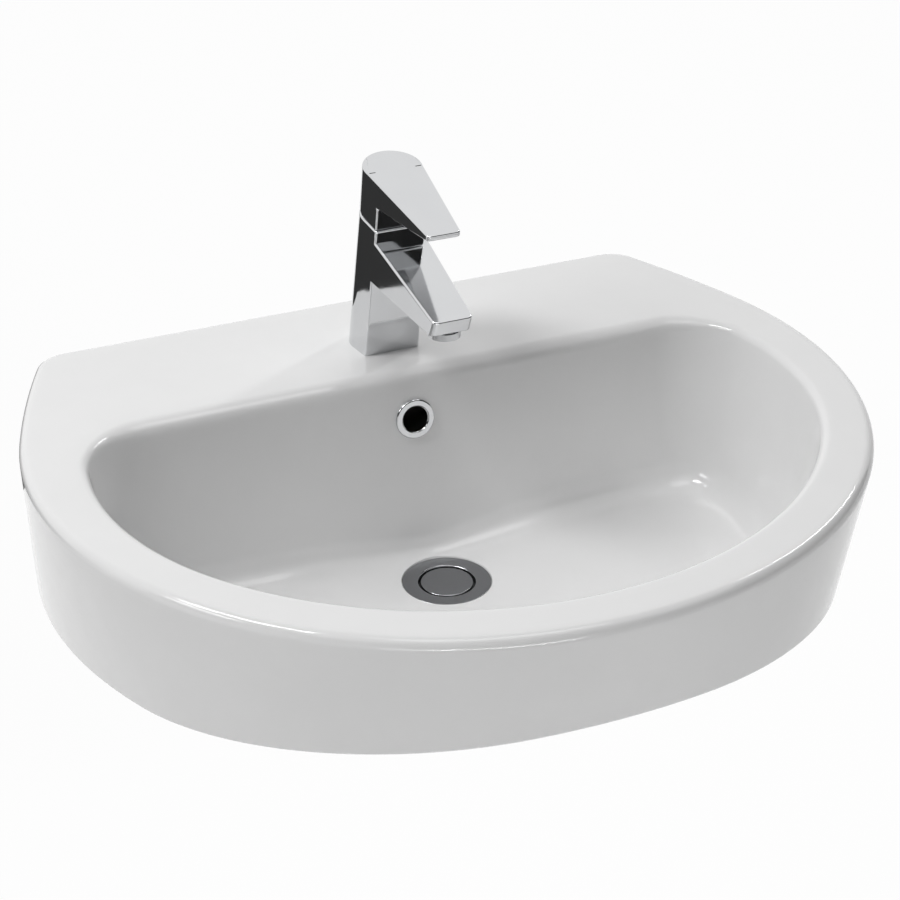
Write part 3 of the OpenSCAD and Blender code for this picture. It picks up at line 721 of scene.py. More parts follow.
@dataclass
class CeramicBasin:
    """Rim, bowl, apron and the hollow under the deck, in one glazed piece.

    Attributes:
        rim: Arcs of the rim's outline.
        hem: Arcs of the apron's lower edge.
        bowl: Arcs of the bowl's opening.
        rim_round: Rounding of the rim's outer edge.
        hem_back: Height of the apron at the wall.
        hem_rise: Rise of the lower edge per millimetre of depth.
        hem_round: Rounding of the lower edge.
        wall_t: Thickness of the apron.
        deck_t: Thickness of the deck.
        lip: Rounding of the bowl's edge.
        lip_back: Rounding of the bowl's edge behind the overflow.
        slope: Inward slope of the bowl's wall.
        fillet: Radius between the bowl's wall and floor.
        fillet_cut: How much smaller that radius is behind the waste.
        fillet_side: How far to either side the smaller radius reaches.
        shell_t: Thickness of the bowl.
        waste_y: Distance from the wall to the waste.
        pilot_r: Radius of the narrow hole that the loft leaves for the waste.
        dish: Height of the floor's plain part, its extra depth at the waste and that dip's reach.
        front_floor: Height and radius of the floor's rise to the front.
        floor_blend: How softly the two floors meet.
        lip_turn: Direction in degrees from the front at which the lip widens, and over how many.
        corners: Corner radii at the wall: rim, hem, and on the inside hem and roof.
        roof_round: Rounding between the apron's inside and the deck.
        duct_wall: Outside of the overflow's duct on the bowl's back wall.
        duct_floor: Outside of its duct under the floor.
        passage: Inside of the duct on the wall.
        passage_floor: Inside of the duct under the floor.
        bare: Where the passage's unglazed body shows, on the bowl's back wall; these faces get the painted
            shade.
        mouth_at: Place of the overflow's mouth.
        mouth: Section of the mouth.
        boss: Section of the boss around the waste.
        outlet: Section of the waste's opening.
        tap_y: Distance from the wall to the tap.
        tap_hole: Section of the tap's hole.
        bolt_x: Distance from the middle to a wall bolt.
        bolt_hole: Section of a wall bolt's hole.
        finish: The ceramic's finish.
    """

    rim: tuple[Arc, ...] = (
        Arc(0.0, -179.0, 318.0, 16.26),
        Arc(7.0, -203.0, 293.0, 106.26),
        Arc(-456.2, -338.1, 775.5, 120.0),
    )
    hem: tuple[Arc, ...] = (
        Arc(0.0, -38.41, 440.2, 7.74),
        Arc(26.55, -233.75, 243.06, 75.55),
        Arc(-301.85, -149.1, 582.19, 110.0),
    )
    bowl: tuple[Arc, ...] = (
        Arc(0.0, -188.5, 270.0, 53.13),
        Arc(44.0, -221.5, 215.0, 100.389),
        Arc(203.0, -192.35, 53.35, 180.0),
    )
    rim_round: float = 6.8
    hem_back: float = 179.7
    hem_rise: float = 0.1925
    hem_round: float = 2.4
    wall_t: float = 11.0
    deck_t: float = 14.0
    lip: float = 7.0
    lip_back: float = 13.0
    slope: float = 0.14
    fillet: float = 26.0
    fillet_cut: float = 7.0
    fillet_side: float = 62.0
    shell_t: float = 10.0
    waste_y: float = 202.0
    pilot_r: float = 20.0
    dish: Triple = (-133.4, 17.4, 70.0)
    front_floor: Pair = (-150.0, 420.0)
    floor_blend: float = 3.0
    lip_turn: Pair = (120.0, 55.0)
    corners: tuple[float, float, float, float] = (27.6, 7.0, 9.0, 16.0)
    roof_round: float = 6.0
    duct_wall: Box = ((-22.0, 4.0, -158.0), (22.0, 29.0, -9.0))
    duct_floor: Box = ((-24.0, -202.0, -182.0), (24.0, -126.0, -150.5))
    passage: Box = ((-15.0, 11.0, -156.0), (15.0, 22.0, -18.0))
    passage_floor: Box = ((-12.0, -187.0, -170.0), (12.0, -137.5, -158.5))
    bare: Box = ((-15.1, 2.5, -157.0), (15.1, 22.1, -16.0))
    mouth_at: Triple = (0.0, -143.116, -36.4)
    mouth: Profile = ((11.5, -15.0), (11.5, 5.0))
    boss: Profile = ((36.5, -190.0), (38.0, -188.5), (38.0, -149.0))
    outlet: Profile = (
        (23.5, -200.0), (23.5, -146.2), (33.4, -146.2), (33.4, -144.4), (34.2, -143.0), (34.2, -120.0)
    )
    tap_y: float = 79.5
    tap_hole: Profile = ((17.5, -24.0), (17.5, 8.0))
    bolt_x: float = 140.0
    bolt_hole: Profile = ((10.2, -6.0), (10.2, 30.0))
    finish: Finish = CERAMIC

    def floor(self, x: np.ndarray, y: np.ndarray) -> np.ndarray:
        """Height of the bowl's floor: steeper near the waste, rising to the front.

        Args:
            x: Places across.
            y: Places along the depth.

        Returns:
            Heights in the rim's frame.
        """
        height, extra, reach = self.dish
        dish = height - extra * np.exp(-np.hypot(x, y + self.waste_y) / reach)
        foot, radius = self.front_floor
        # Held short of the radius, past which the root has no value
        ahead = np.clip(-(y + self.waste_y), 0.0, radius - 20.0)
        rise = foot + (radius - np.sqrt(radius**2 - ahead**2))
        return self.floor_blend * np.logaddexp(dish / self.floor_blend, rise / self.floor_blend)

    def plans(self) -> Plans:
        """Samples every outline in the same directions, closer together on the wide arcs.

        Returns:
            The plan points.
        """
        spans = [(0.0, 16.0, 26), (16.0, 76.0, 62), (76.0, 116.0, 96), (116.0, 180.0, 20)]
        turn = np.concatenate([np.linspace(a, b, n, endpoint=False) for a, b, n in spans] + [[180.0]])
        back = np.linspace(0.0, 1.0, 26)[1:]
        half = np.radians(np.concatenate([turn, np.full(len(back), 180.0)]))
        right = np.c_[np.sin(half), -np.cos(half)]
        rim_r, hem_r, hem_in_r, roof_r = self.corners
        hem_in = Outline(self.hem).inset(self.wall_t).closed_by(-self.deck_t, hem_in_r)
        roof_in = Outline(self.rim).inset(self.wall_t + 1.0).closed_by(-self.deck_t, roof_r)
        return Plans(
            rim=Outline(self.rim).closed_by(0.0, rim_r).points(turn, back),
            hem=Outline(self.hem).closed_by(0.0, hem_r).points(turn, back),
            bowl=Outline(self.bowl).points(turn, back),
            hem_in=hem_in.points(turn, back),
            roof_in=roof_in.points(turn, back),
            out=np.vstack([right, right[1:-1][::-1] * np.array([-1.0, 1.0])]),
        )

    def floor_gap(
        self, edge: np.ndarray, into: np.ndarray, height: np.ndarray, radius: np.ndarray, reach: np.ndarray
    ) -> tuple[np.ndarray, np.ndarray]:
        """Measures from a fillet's centre beside the wall to the floor.

        Args:
            edge: Plan points of the bowl's opening.
            into: Unit vectors in plan that point into the bowl.
            height: Height of the fillet's centre at each point.
            radius: Fillet radius at each point.
            reach: Offsets along the section at which the floor is sampled.

        Returns:
            Distances to the sampled floor, and how far in the centre lies.
        """
        middle = self.slope * (-height - self.lip) + radius * math.sqrt(1 + self.slope**2)
        along = middle[:, None] + reach
        x = edge[:, 0, None] + into[:, 0, None] * along
        y = edge[:, 1, None] + into[:, 1, None] * along
        return np.hypot(reach, self.floor(x, y) - height[:, None]), middle

    def bowl_profiles(self, edge: np.ndarray, into: np.ndarray, lip: np.ndarray) -> dict[str, np.ndarray]:
        """Works out the section of the bowl at every point of its edge.

        Args:
            edge: Plan points of the bowl's opening.
            into: Unit vectors in plan that point into the bowl.
            lip: Rounding of the edge at each point.

        Returns:
            Arrays of distance into the bowl and height, with the section's normals.
        """
        m = self.slope
        lean = math.atan(m)
        count = len(edge)
        # Lip: from the flat rim to the wall
        centre = m * (lip - self.lip) - lip * math.sqrt(1 + m * m)
        lip_a = np.linspace(math.pi / 2, lean, 9)
        lip_s = centre[:, None] + lip[:, None] * np.cos(lip_a)
        lip_z = -lip[:, None] + lip[:, None] * np.sin(lip_a)
        # Fillet: a circle that touches the wall and the floor, smaller behind the waste
        behind = (edge[:, 1] > -self.waste_y) * np.exp(-((edge[:, 0] / self.fillet_side) ** 2))
        radius = self.fillet - self.fillet_cut * behind
        low = np.full(count, -150.0)
        high = np.full(count, -40.0)
        reach = np.linspace(-0.95, 1.1, 121) * self.fillet
        for _ in range(34):
            mid = (low + high) / 2
            near = self.floor_gap(edge, into, mid, radius, reach)[0].min(axis=1)
            high = np.where(near > radius, mid, high)
            low = np.where(near > radius, low, mid)
        z_c = (low + high) / 2
        gap, s_c = self.floor_gap(edge, into, z_c, radius, reach)
        at = np.clip(gap.argmin(axis=1), 1, len(reach) - 2)
        row = np.arange(count)
        g0, g1, g2 = gap[row, at - 1], gap[row, at], gap[row, at + 1]
        shift = 0.5 * (g0 - g2) / np.maximum(g0 - 2 * g1 + g2, 1e-9)
        s_f = s_c + reach[at] + shift * (reach[1] - reach[0])
        z_f = self.floor(edge[:, 0] + into[:, 0] * s_f, edge[:, 1] + into[:, 1] * s_f)
        end_a = np.arctan2(z_f - z_c, s_f - s_c)
        start_a = -math.pi + lean
        fil_a = start_a + (end_a[:, None] - start_a) * np.linspace(0.0, 1.0, 13)
        fil_s = s_c[:, None] + radius[:, None] * np.cos(fil_a)
        fil_z = z_c[:, None] + radius[:, None] * np.sin(fil_a)
        # Wall between them
        along = np.linspace(0.0, 1.0, 11)[1:-1]
        wall_s = lip_s[:, -1:] + (fil_s[:, :1] - lip_s[:, -1:]) * along
        wall_z = lip_z[:, -1:] + (fil_z[:, :1] - lip_z[:, -1:]) * along
        wall_n = np.tile(np.array([math.cos(lean), math.sin(lean)]), (count, len(along), 1))
        return {
            "s": np.hstack([lip_s, wall_s, fil_s]),
            "z": np.hstack([lip_z, wall_z, fil_z]),
            "wall_s": wall_s,
            "wall_z": wall_z,
            "wall_n": wall_n,
            "fil_s": fil_s,
            "fil_z": fil_z,
            "fil_n": -np.stack([np.cos(fil_a), np.sin(fil_a)], axis=-1),
        }

    def ring(self, plan: np.ndarray, z: np.ndarray | float) -> np.ndarray:
        """Makes one ring of points from plan points and heights."""
        return np.c_[plan, np.broadcast_to(z, len(plan))]

    def hem_height(self, plan: np.ndarray) -> np.ndarray:
        """Height of the apron's lower edge at plan points."""
        return -self.hem_back - self.hem_rise * plan[:, 1]

    def bowl_rings(self, plan: Plans, part: dict[str, np.ndarray], pilot: np.ndarray) -> list[np.ndarray]:
        """Makes the rings of the bowl's inside, from the pilot hole up to the lip.

        Args:
            plan: The outlines.
            part: The bowl's section.
            pilot: Plan points of the pilot hole.

        Returns:
            The rings in order.
        """
        rings = [self.ring(pilot, self.floor(pilot[:, 0], pilot[:, 1]) - self.shell_t)]
        foot = plan.bowl - plan.out * part["fil_s"][:, -1:]
        for share in np.linspace(0.0, 1.0, 29)[:-1]:
            spot = pilot + (foot - pilot) * (0.6 * share + 0.4 * share * share)
            rings.append(self.ring(spot, self.floor(spot[:, 0], spot[:, 1])))
        for k in range(part["s"].shape[1] - 1, -1, -1):
            rings.append(self.ring(plan.bowl - plan.out * part["s"][:, k : k + 1], part["z"][:, k]))
        return rings

    def rim_rings(self, plan: Plans, lip: np.ndarray) -> list[np.ndarray]:
        """Makes the rings of the flat rim and of its outer rounding.

        Args:
            plan: The outlines.
            lip: The lip's topmost ring.

        Returns:
            The rings in order.
        """
        inner = lip[:, :2]
        outer = plan.rim - plan.out * self.rim_round
        rings = [self.ring(inner + (outer - inner) * share, 0.0) for share in np.linspace(0.0, 1.0, 7)[1:-1]]
        # The rounding runs on until it is tangent to the leaning wall
        drop = -self.hem_height(plan.hem) - self.rim_round
        lean = np.arctan2(((plan.rim - plan.hem) * plan.out).sum(axis=1), drop)
        for share in np.linspace(0.0, 1.0, 11):
            angle = math.pi / 2 - (math.pi / 2 + lean) * share
            spot = outer + plan.out * (self.rim_round * np.cos(angle))[:, None]
            rings.append(self.ring(spot, -self.rim_round + self.rim_round * np.sin(angle)))
        return rings

    def apron_rings(self, plan: Plans, top: np.ndarray) -> list[np.ndarray]:
        """Makes the rings down the apron's outside, round its lower edge and up its inside.

        Args:
            plan: The outlines.
            top: The ring where the rim's rounding ends.

        Returns:
            The rings in order.
        """
        quarter = np.linspace(0.0, math.pi / 2, 5)
        inwards, upwards = 1 - np.cos(quarter), 1 - np.sin(quarter)
        soft = self.hem_round
        out_z, in_z = self.hem_height(plan.hem), self.hem_height(plan.hem_in)
        bottom = np.c_[plan.hem, out_z + soft]
        rings = [top + (bottom - top) * share for share in np.linspace(0.0, 1.0, 17)[1:-1]]
        for inward, up in zip(inwards, upwards):
            rings.append(self.ring(plan.hem - plan.out * soft * inward, out_z + soft * up))
        for inward, up in zip(inwards[::-1], upwards[::-1]):
            rings.append(self.ring(plan.hem_in + plan.out * soft * inward, in_z + soft * up))
        low = np.c_[plan.hem_in, in_z + soft]
        high = np.c_[plan.roof_in, np.full(len(plan.roof_in), -self.deck_t - self.roof_round)]
        rings += [low + (high - low) * share for share in np.linspace(0.0, 1.0, 12)[1:]]
        for angle in quarter[1:]:
            spot = plan.roof_in - plan.out * self.roof_round * (1 - math.cos(angle))
            rings.append(self.ring(spot, -self.deck_t - self.roof_round * (1 - math.sin(angle))))
        return rings

    def under_rings(
        self, plan: Plans, part: dict[str, np.ndarray], pilot: np.ndarray, roof: np.ndarray
    ) -> list[np.ndarray]:
        """Makes the rings of the deck's underside and of the bowl's outside down to the pilot hole.

        Args:
            plan: The outlines.
            part: The bowl's section.
            pilot: Plan points of the pilot hole.
            roof: The ring where the apron's inside meets the deck.

        Returns:
            The rings in order.
        """
        wall_s = part["wall_s"] - self.shell_t * part["wall_n"][..., 0]
        wall_z = part["wall_z"] - self.shell_t * part["wall_n"][..., 1]
        top_s = wall_s[:, :1] + (wall_z[:, :1] + self.deck_t) * self.slope
        start, roof = plan.bowl - plan.out * top_s, roof[:, :2]
        shares = np.linspace(0.0, 1.0, 5)[1:]
        rings = [self.ring(roof + (start - roof) * share, -self.deck_t) for share in shares]
        for k in range(wall_s.shape[1]):
            # Counted from the deck's underside, ring after ring lies at least another 0.6 mm lower
            z = np.minimum(wall_z[:, k], -self.deck_t - 0.6 * (k + 1))
            s = top_s[:, 0] + (-self.deck_t - z) * self.slope
            rings.append(self.ring(plan.bowl - plan.out * s[:, None], z))
        fil_s = part["fil_s"] - self.shell_t * part["fil_n"][..., 0]
        fil_z = part["fil_z"] - self.shell_t * part["fil_n"][..., 1]
        for k in range(fil_s.shape[1]):
            rings.append(self.ring(plan.bowl - plan.out * fil_s[:, k : k + 1], fil_z[:, k]))
        last = rings[-1][:, :2]
        step = fil_z[:, -1] - self.floor(last[:, 0], last[:, 1]) + self.shell_t
        for share in np.linspace(0.0, 1.0, 15)[1:-1]:
            spot = last + (pilot - last) * share
            z = self.floor(spot[:, 0], spot[:, 1]) - self.shell_t + step * (1 - share) ** 3
            rings.append(self.ring(spot, z))
        return rings

    def build(self) -> Object:
        """Lofts the closed ceramic body, joins its ducts and cuts its holes.

        Returns:
            The ceramic piece.
        """
        plan = self.plans()
        around = np.degrees(np.arctan2(np.abs(plan.out[:, 0]), -plan.out[:, 1]))
        ease = np.clip((around - self.lip_turn[0]) / self.lip_turn[1], 0.0, 1.0)
        lip = self.lip + (self.lip_back - self.lip) * ease * ease * (3 - 2 * ease)
        part = self.bowl_profiles(plan.bowl, -plan.out, lip)
        foot = plan.bowl - plan.out * part["fil_s"][:, -1:]
        polar = np.arctan2(foot[:, 0], -(foot[:, 1] + self.waste_y))
        pilot = np.array([0.0, -self.waste_y]) + self.pilot_r * np.c_[np.sin(polar), -np.cos(polar)]
        rings = self.bowl_rings(plan, part, pilot)
        rings += self.rim_rings(plan, rings[-1])
        rings += self.apron_rings(plan, rings[-1])
        rings += self.under_rings(plan, part, pilot, rings[-1])
        piece = self.loft(rings)
        self.add_ducts(piece)
        self.cut_holes(piece)
        face_outwards(piece.data)
        shade(piece.data, 32.0)
        return piece

    def loft(self, rings: list[np.ndarray]) -> Object:
        """Joins the rings into one closed mesh.

        Args:
            rings: Rings of equal length; the last one joins the first.

        Returns:
            The lofted object.
        """
        count = len(rings[0])
        total = len(rings)
        points = metres(np.vstack(rings))
        faces = []
        for k in range(total):
            a, b = k * count, ((k + 1) % total) * count
            for j in range(count):
                nxt = (j + 1) % count
                faces.append((a + j, a + nxt, b + nxt, b + j))
        piece = mesh_object("ceramic_basin", points, faces)
        face_outwards(piece.data)
        return piece

    def wall_turn(self) -> Matrix:
        """Placement on the bowl's back wall: Z runs up the wall and Y away from the bowl."""
        return Matrix.Translation((0.0, -139.0, -self.lip)) @ Matrix.Rotation(-math.atan(self.slope), 4, "X")

    def add_ducts(self, piece: Object) -> None:
        """Joins the overflow passage's walls and the waste's boss to the body.

        Args:
            piece: The ceramic piece.
        """
        upright = box_object("duct_wall", self.duct_wall, self.wall_turn())
        lying = box_object("duct_floor", self.duct_floor)
        boss = turned_object("boss", self.boss, Matrix.Translation((0.0, -self.waste_y, 0.0)))
        cut(upright, lying, "UNION")
        cut(upright, boss, "UNION")
        cut(piece, upright, "UNION")

    def cut_holes(self, piece: Object) -> None:
        """Cuts the overflow passage and the holes for the tap, waste and wall bolts.

        Args:
            piece: The ceramic piece.
        """
        passage = box_object("passage", self.passage, self.wall_turn())
        cut(passage, box_object("passage_floor", self.passage_floor), "UNION")
        level = Matrix.Rotation(math.pi / 2 - math.atan(self.slope), 4, "X")
        cut(passage, turned_object("mouth", self.mouth, Matrix.Translation(self.mouth_at) @ level), "UNION")
        waste = Matrix.Translation((0.0, -self.waste_y, 0.0))
        cut(passage, turned_object("outlet", self.outlet, waste), "UNION")
        cut(piece, passage, "DIFFERENCE")
        drill(piece, self.tap_hole, Matrix.Translation((0.0, -self.tap_y, 0.0)))
        for x in (-self.bolt_x, self.bolt_x):
            spot = Matrix.Translation((x, 0.0, -RIM_Z)) @ Matrix.Rotation(math.pi / 2, 4, "X")
            drill(piece, self.bolt_hole, spot)

    def dress(self, piece: Object) -> None:
        """Gives the piece its glaze and its place on the fixed body.

        Args:
            piece: The ceramic piece.
        """
        piece.data.materials.clear()
        piece.data.materials.append(self.finish.material())
        # The passage's faces get painted shade: a near-black colour that stands for the shade inside the hole
        piece.data.materials.append(PASSAGE_PAINTED_SHADE.material())
        back = self.wall_turn().inverted()
        for face in piece.data.polygons:
            if within(back @ (face.center * 1000.0 - Vector((0.0, 0.0, RIM_Z))), self.bare):
                face.material_index = 1
        dress(piece, self.finish, "fixed", "basin")


# Pieces with soft edges


def round_edges(bm: BMesh, width: float, steps: int, wanted: Callable[[Vector], bool]) -> None:
    """Rounds a mesh's sharp outer edges.

    Args:
        bm: The mesh to change.
        width: Width of the rounding in millimetres.
        steps: Segments across the rounding.
        wanted: Says whether an edge with this middle point, in millimetres, is rounded.
    """
    bm.normal_update()
    sharp = []
    for edge in bm.edges:
        if len(edge.link_faces) == 2 and edge.is_convex and edge.calc_face_angle(0.0) > math.radians(50):
            if wanted((edge.verts[0].co + edge.verts[1].co) * 500.0):
                sharp.append(edge)
    bmesh.ops.bevel(
        bm, geom=sharp, offset=width / 1000.0, offset_type="OFFSET", segments=steps, profile=0.5,
        affect="EDGES", clamp_overlap=False, loop_slide=True,
    )


def fix_order(mesh: Mesh) -> None:
    """Numbers a mesh's points and faces by their place, as a bevel leaves them in no fixed order.

    Args:
        mesh: The mesh to change in place.
    """
    spots = [tuple(v.co) for v in mesh.vertices]
    rank = sorted(range(len(spots)), key=lambda i: spots[i])
    number = {old: new for new, old in enumerate(rank)}
    faces = []
    for face in mesh.polygons:
        loop = [number[i] for i in face.vertices]
        first = loop.index(min(loop))
        faces.append(loop[first:] + loop[:first])
    mesh.clear_geometry()
    mesh.from_pydata([spots[i] for i in rank], [], sorted(faces))


def even_normals(piece: Object) -> None:
    """Keeps large faces flat in the light and lets the roundings carry the bend.

    Args:
        piece: The piece to shade.
    """
    shade(piece.data, 30.0)
    even = piece.modifiers.new("even", "WEIGHTED_NORMAL")
    even.mode = "FACE_AREA"
    even.weight = 80
    even.keep_sharp = True
    settle(piece)


@dataclass(frozen=True)
class SoftEdges:
    """A polished casting: the CAD node's own shape with its outer edges rounded.

    Attributes:
        node: The CAD node it stands for.
        name: The piece's name.
        body: The body it rides on.
        slot: Not used.
        width: Width of the rounding in millimetres.
        steps: Segments across the rounding.
        finish: The piece's finish.
        wanted: Says whether an edge with this middle point, in millimetres, is rounded.
    """

    node: str
    name: str
    body: str
    slot: str
    width: float
    steps: int
    finish: Finish
    wanted: Callable[[Vector], bool]

    def build(self) -> Object:
        """Copies the node's mesh, merges it and rounds the chosen edges.

        Returns:
            The new piece, dressed and riding on its body.
        """
        bm = bmesh.new()
        bm.from_mesh(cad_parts[self.node].data)
        bmesh.ops.remove_doubles(bm, verts=bm.verts, dist=1.2e-4)
        bmesh.ops.dissolve_limit(bm, angle_limit=math.radians(0.6), verts=bm.verts, edges=bm.edges)
        round_edges(bm, self.width, self.steps, self.wanted)
        mesh = bpy.data.meshes.new(self.name)
        bm.to_mesh(mesh)
        bm.free()
        piece = bpy.data.objects.new(self.name, mesh)
        bpy.context.scene.collection.objects.link(piece)
        even_normals(piece)
        dress(piece, self.finish, self.body, self.node)
        return piece


# Pieces grown by Geometry Nodes


class GrownPiece:
    """A piece whose shape a Geometry Nodes tree grows from named sizes."""

    def __init__(self, name: str, finish: Finish, sizes: dict[str, float]) -> None:
        """Keeps what the tree needs.

        Args:
            name: The piece's name.
            finish: The finish that Set Material gives.
            sizes: Named inputs of the tree, lengths in metres.
        """
        self.name = name
        self.finish = finish
        self.sizes = sizes

    def tree(self) -> GeometryNodeTree:
        """Makes a tree with one named input per size and a geometry output.

        Returns:
            The new tree.
        """
        tree = bpy.data.node_groups.new(self.name, "GeometryNodeTree")
        tree.interface.new_socket("Geometry", in_out="OUTPUT", socket_type="NodeSocketGeometry")
        for key, value in self.sizes.items():
            kind = "NodeSocketInt" if isinstance(value, int) else "NodeSocketFloat"
            tree.interface.new_socket(key, in_out="INPUT", socket_type=kind)
        return tree

    def grow(self, tree: GeometryNodeTree, sizes: Node) -> NodeSocket:
        """Builds the shape's nodes.

        Args:
            tree: The piece's tree.
            sizes: Its group input.

        Returns:
            The mesh socket.
        """
        raise NotImplementedError

    def build(self, place: Matrix) -> Object:
        """Evaluates the tree and turns its result into a plain mesh.

        Args:
            place: Where the shape goes, in metres in the part's frame.

        Returns:
            The finished piece, at the origin.
        """
        tree = self.tree()
        sizes = add_node(tree, "NodeGroupInput")
        shape = self.grow(tree, sizes)
        real = add_node(tree, "GeometryNodeRealizeInstances", {0: shape})
        dressed = add_node(tree, "GeometryNodeSetMaterial", {"Geometry": real.outputs[0]})
        dressed.inputs["Material"].default_value = self.finish.material()
        add_node(tree, "NodeGroupOutput", {0: dressed.outputs[0]})
        piece = mesh_object(self.name, np.zeros((1, 3)), [])
        grown = piece.modifiers.new("grown", "NODES")
        grown.node_group = tree
        for item in tree.interface.items_tree:
            if item.in_out == "INPUT":
                grown[item.identifier] = self.sizes[item.name]
        settle(piece)
        piece.data.transform(place)
        face_outwards(piece.data)
        shade(piece.data, 40.0)
        return piece


class ScrewThread(GrownPiece):
    """A helical ridge: a diamond section that follows a spiral."""

    def grow(self, tree: GeometryNodeTree, sizes: Node) -> NodeSocket:
        """Builds the spiral and sweeps the ridge along it.

        Args:
            tree: The piece's tree.
            sizes: Its group input.

        Returns:
            The ridge's mesh socket.
        """
        height = compute(tree, "MULTIPLY", sizes.outputs["Pitch"], sizes.outputs["Turns"])
        spiral = add_node(
            tree,
            "GeometryNodeCurveSpiral",
            {
                "Resolution": sizes.outputs["Steps"],
                "Rotations": sizes.outputs["Turns"],
                "Start Radius": sizes.outputs["Radius"],
                "End Radius": sizes.outputs["Radius"],
                "Height": height,
            },
        )
        upright = add_node(tree, "GeometryNodeSetCurveNormal", {"Curve": spiral.outputs[0]})
        upright.mode = "Z_UP"
        ridge = {"Resolution": 4, "Radius": sizes.outputs["Ridge"]}
        section = add_node(tree, "GeometryNodeCurvePrimitiveCircle", ridge)
        swept = add_node(
            tree,
            "GeometryNodeCurveToMesh",
            {"Curve": upright.outputs[0], "Profile Curve": section.outputs[0], "Fill Caps": True},
        )
        return swept.outputs[0]


class OutletGrid(GrownPiece):
    """Fine vanes around the water outlet, set out on a circle."""

    def grow(self, tree: GeometryNodeTree, sizes: Node) -> NodeSocket:
        """Sets a thin vane on every point of a circle.

        Args:
            tree: The piece's tree.
            sizes: Its group input.

        Returns:
            The instances' socket.
        """
        given = sizes.outputs
        outline = {"Resolution": 96, "Radius": given["Radius"]}
        circle = add_node(tree, "GeometryNodeCurvePrimitiveCircle", outline).outputs["Curve"]
        values = {"Curve": circle, "Count": given["Vanes"]}
        spots = add_node(tree, "GeometryNodeCurveToPoints", values).outputs
        edges = {0: given["Thickness"], 1: given["Length"], 2: given["Depth"]}
        size = add_node(tree, "ShaderNodeCombineXYZ", edges).outputs["Vector"]
        vane = add_node(tree, "GeometryNodeMeshCube", {"Size": size}).outputs["Mesh"]
        values = {"Points": spots["Points"], "Instance": vane, "Rotation": spots["Rotation"]}
        return add_node(tree, "GeometryNodeInstanceOnPoints", values).outputs[0]


# Sub-assemblies


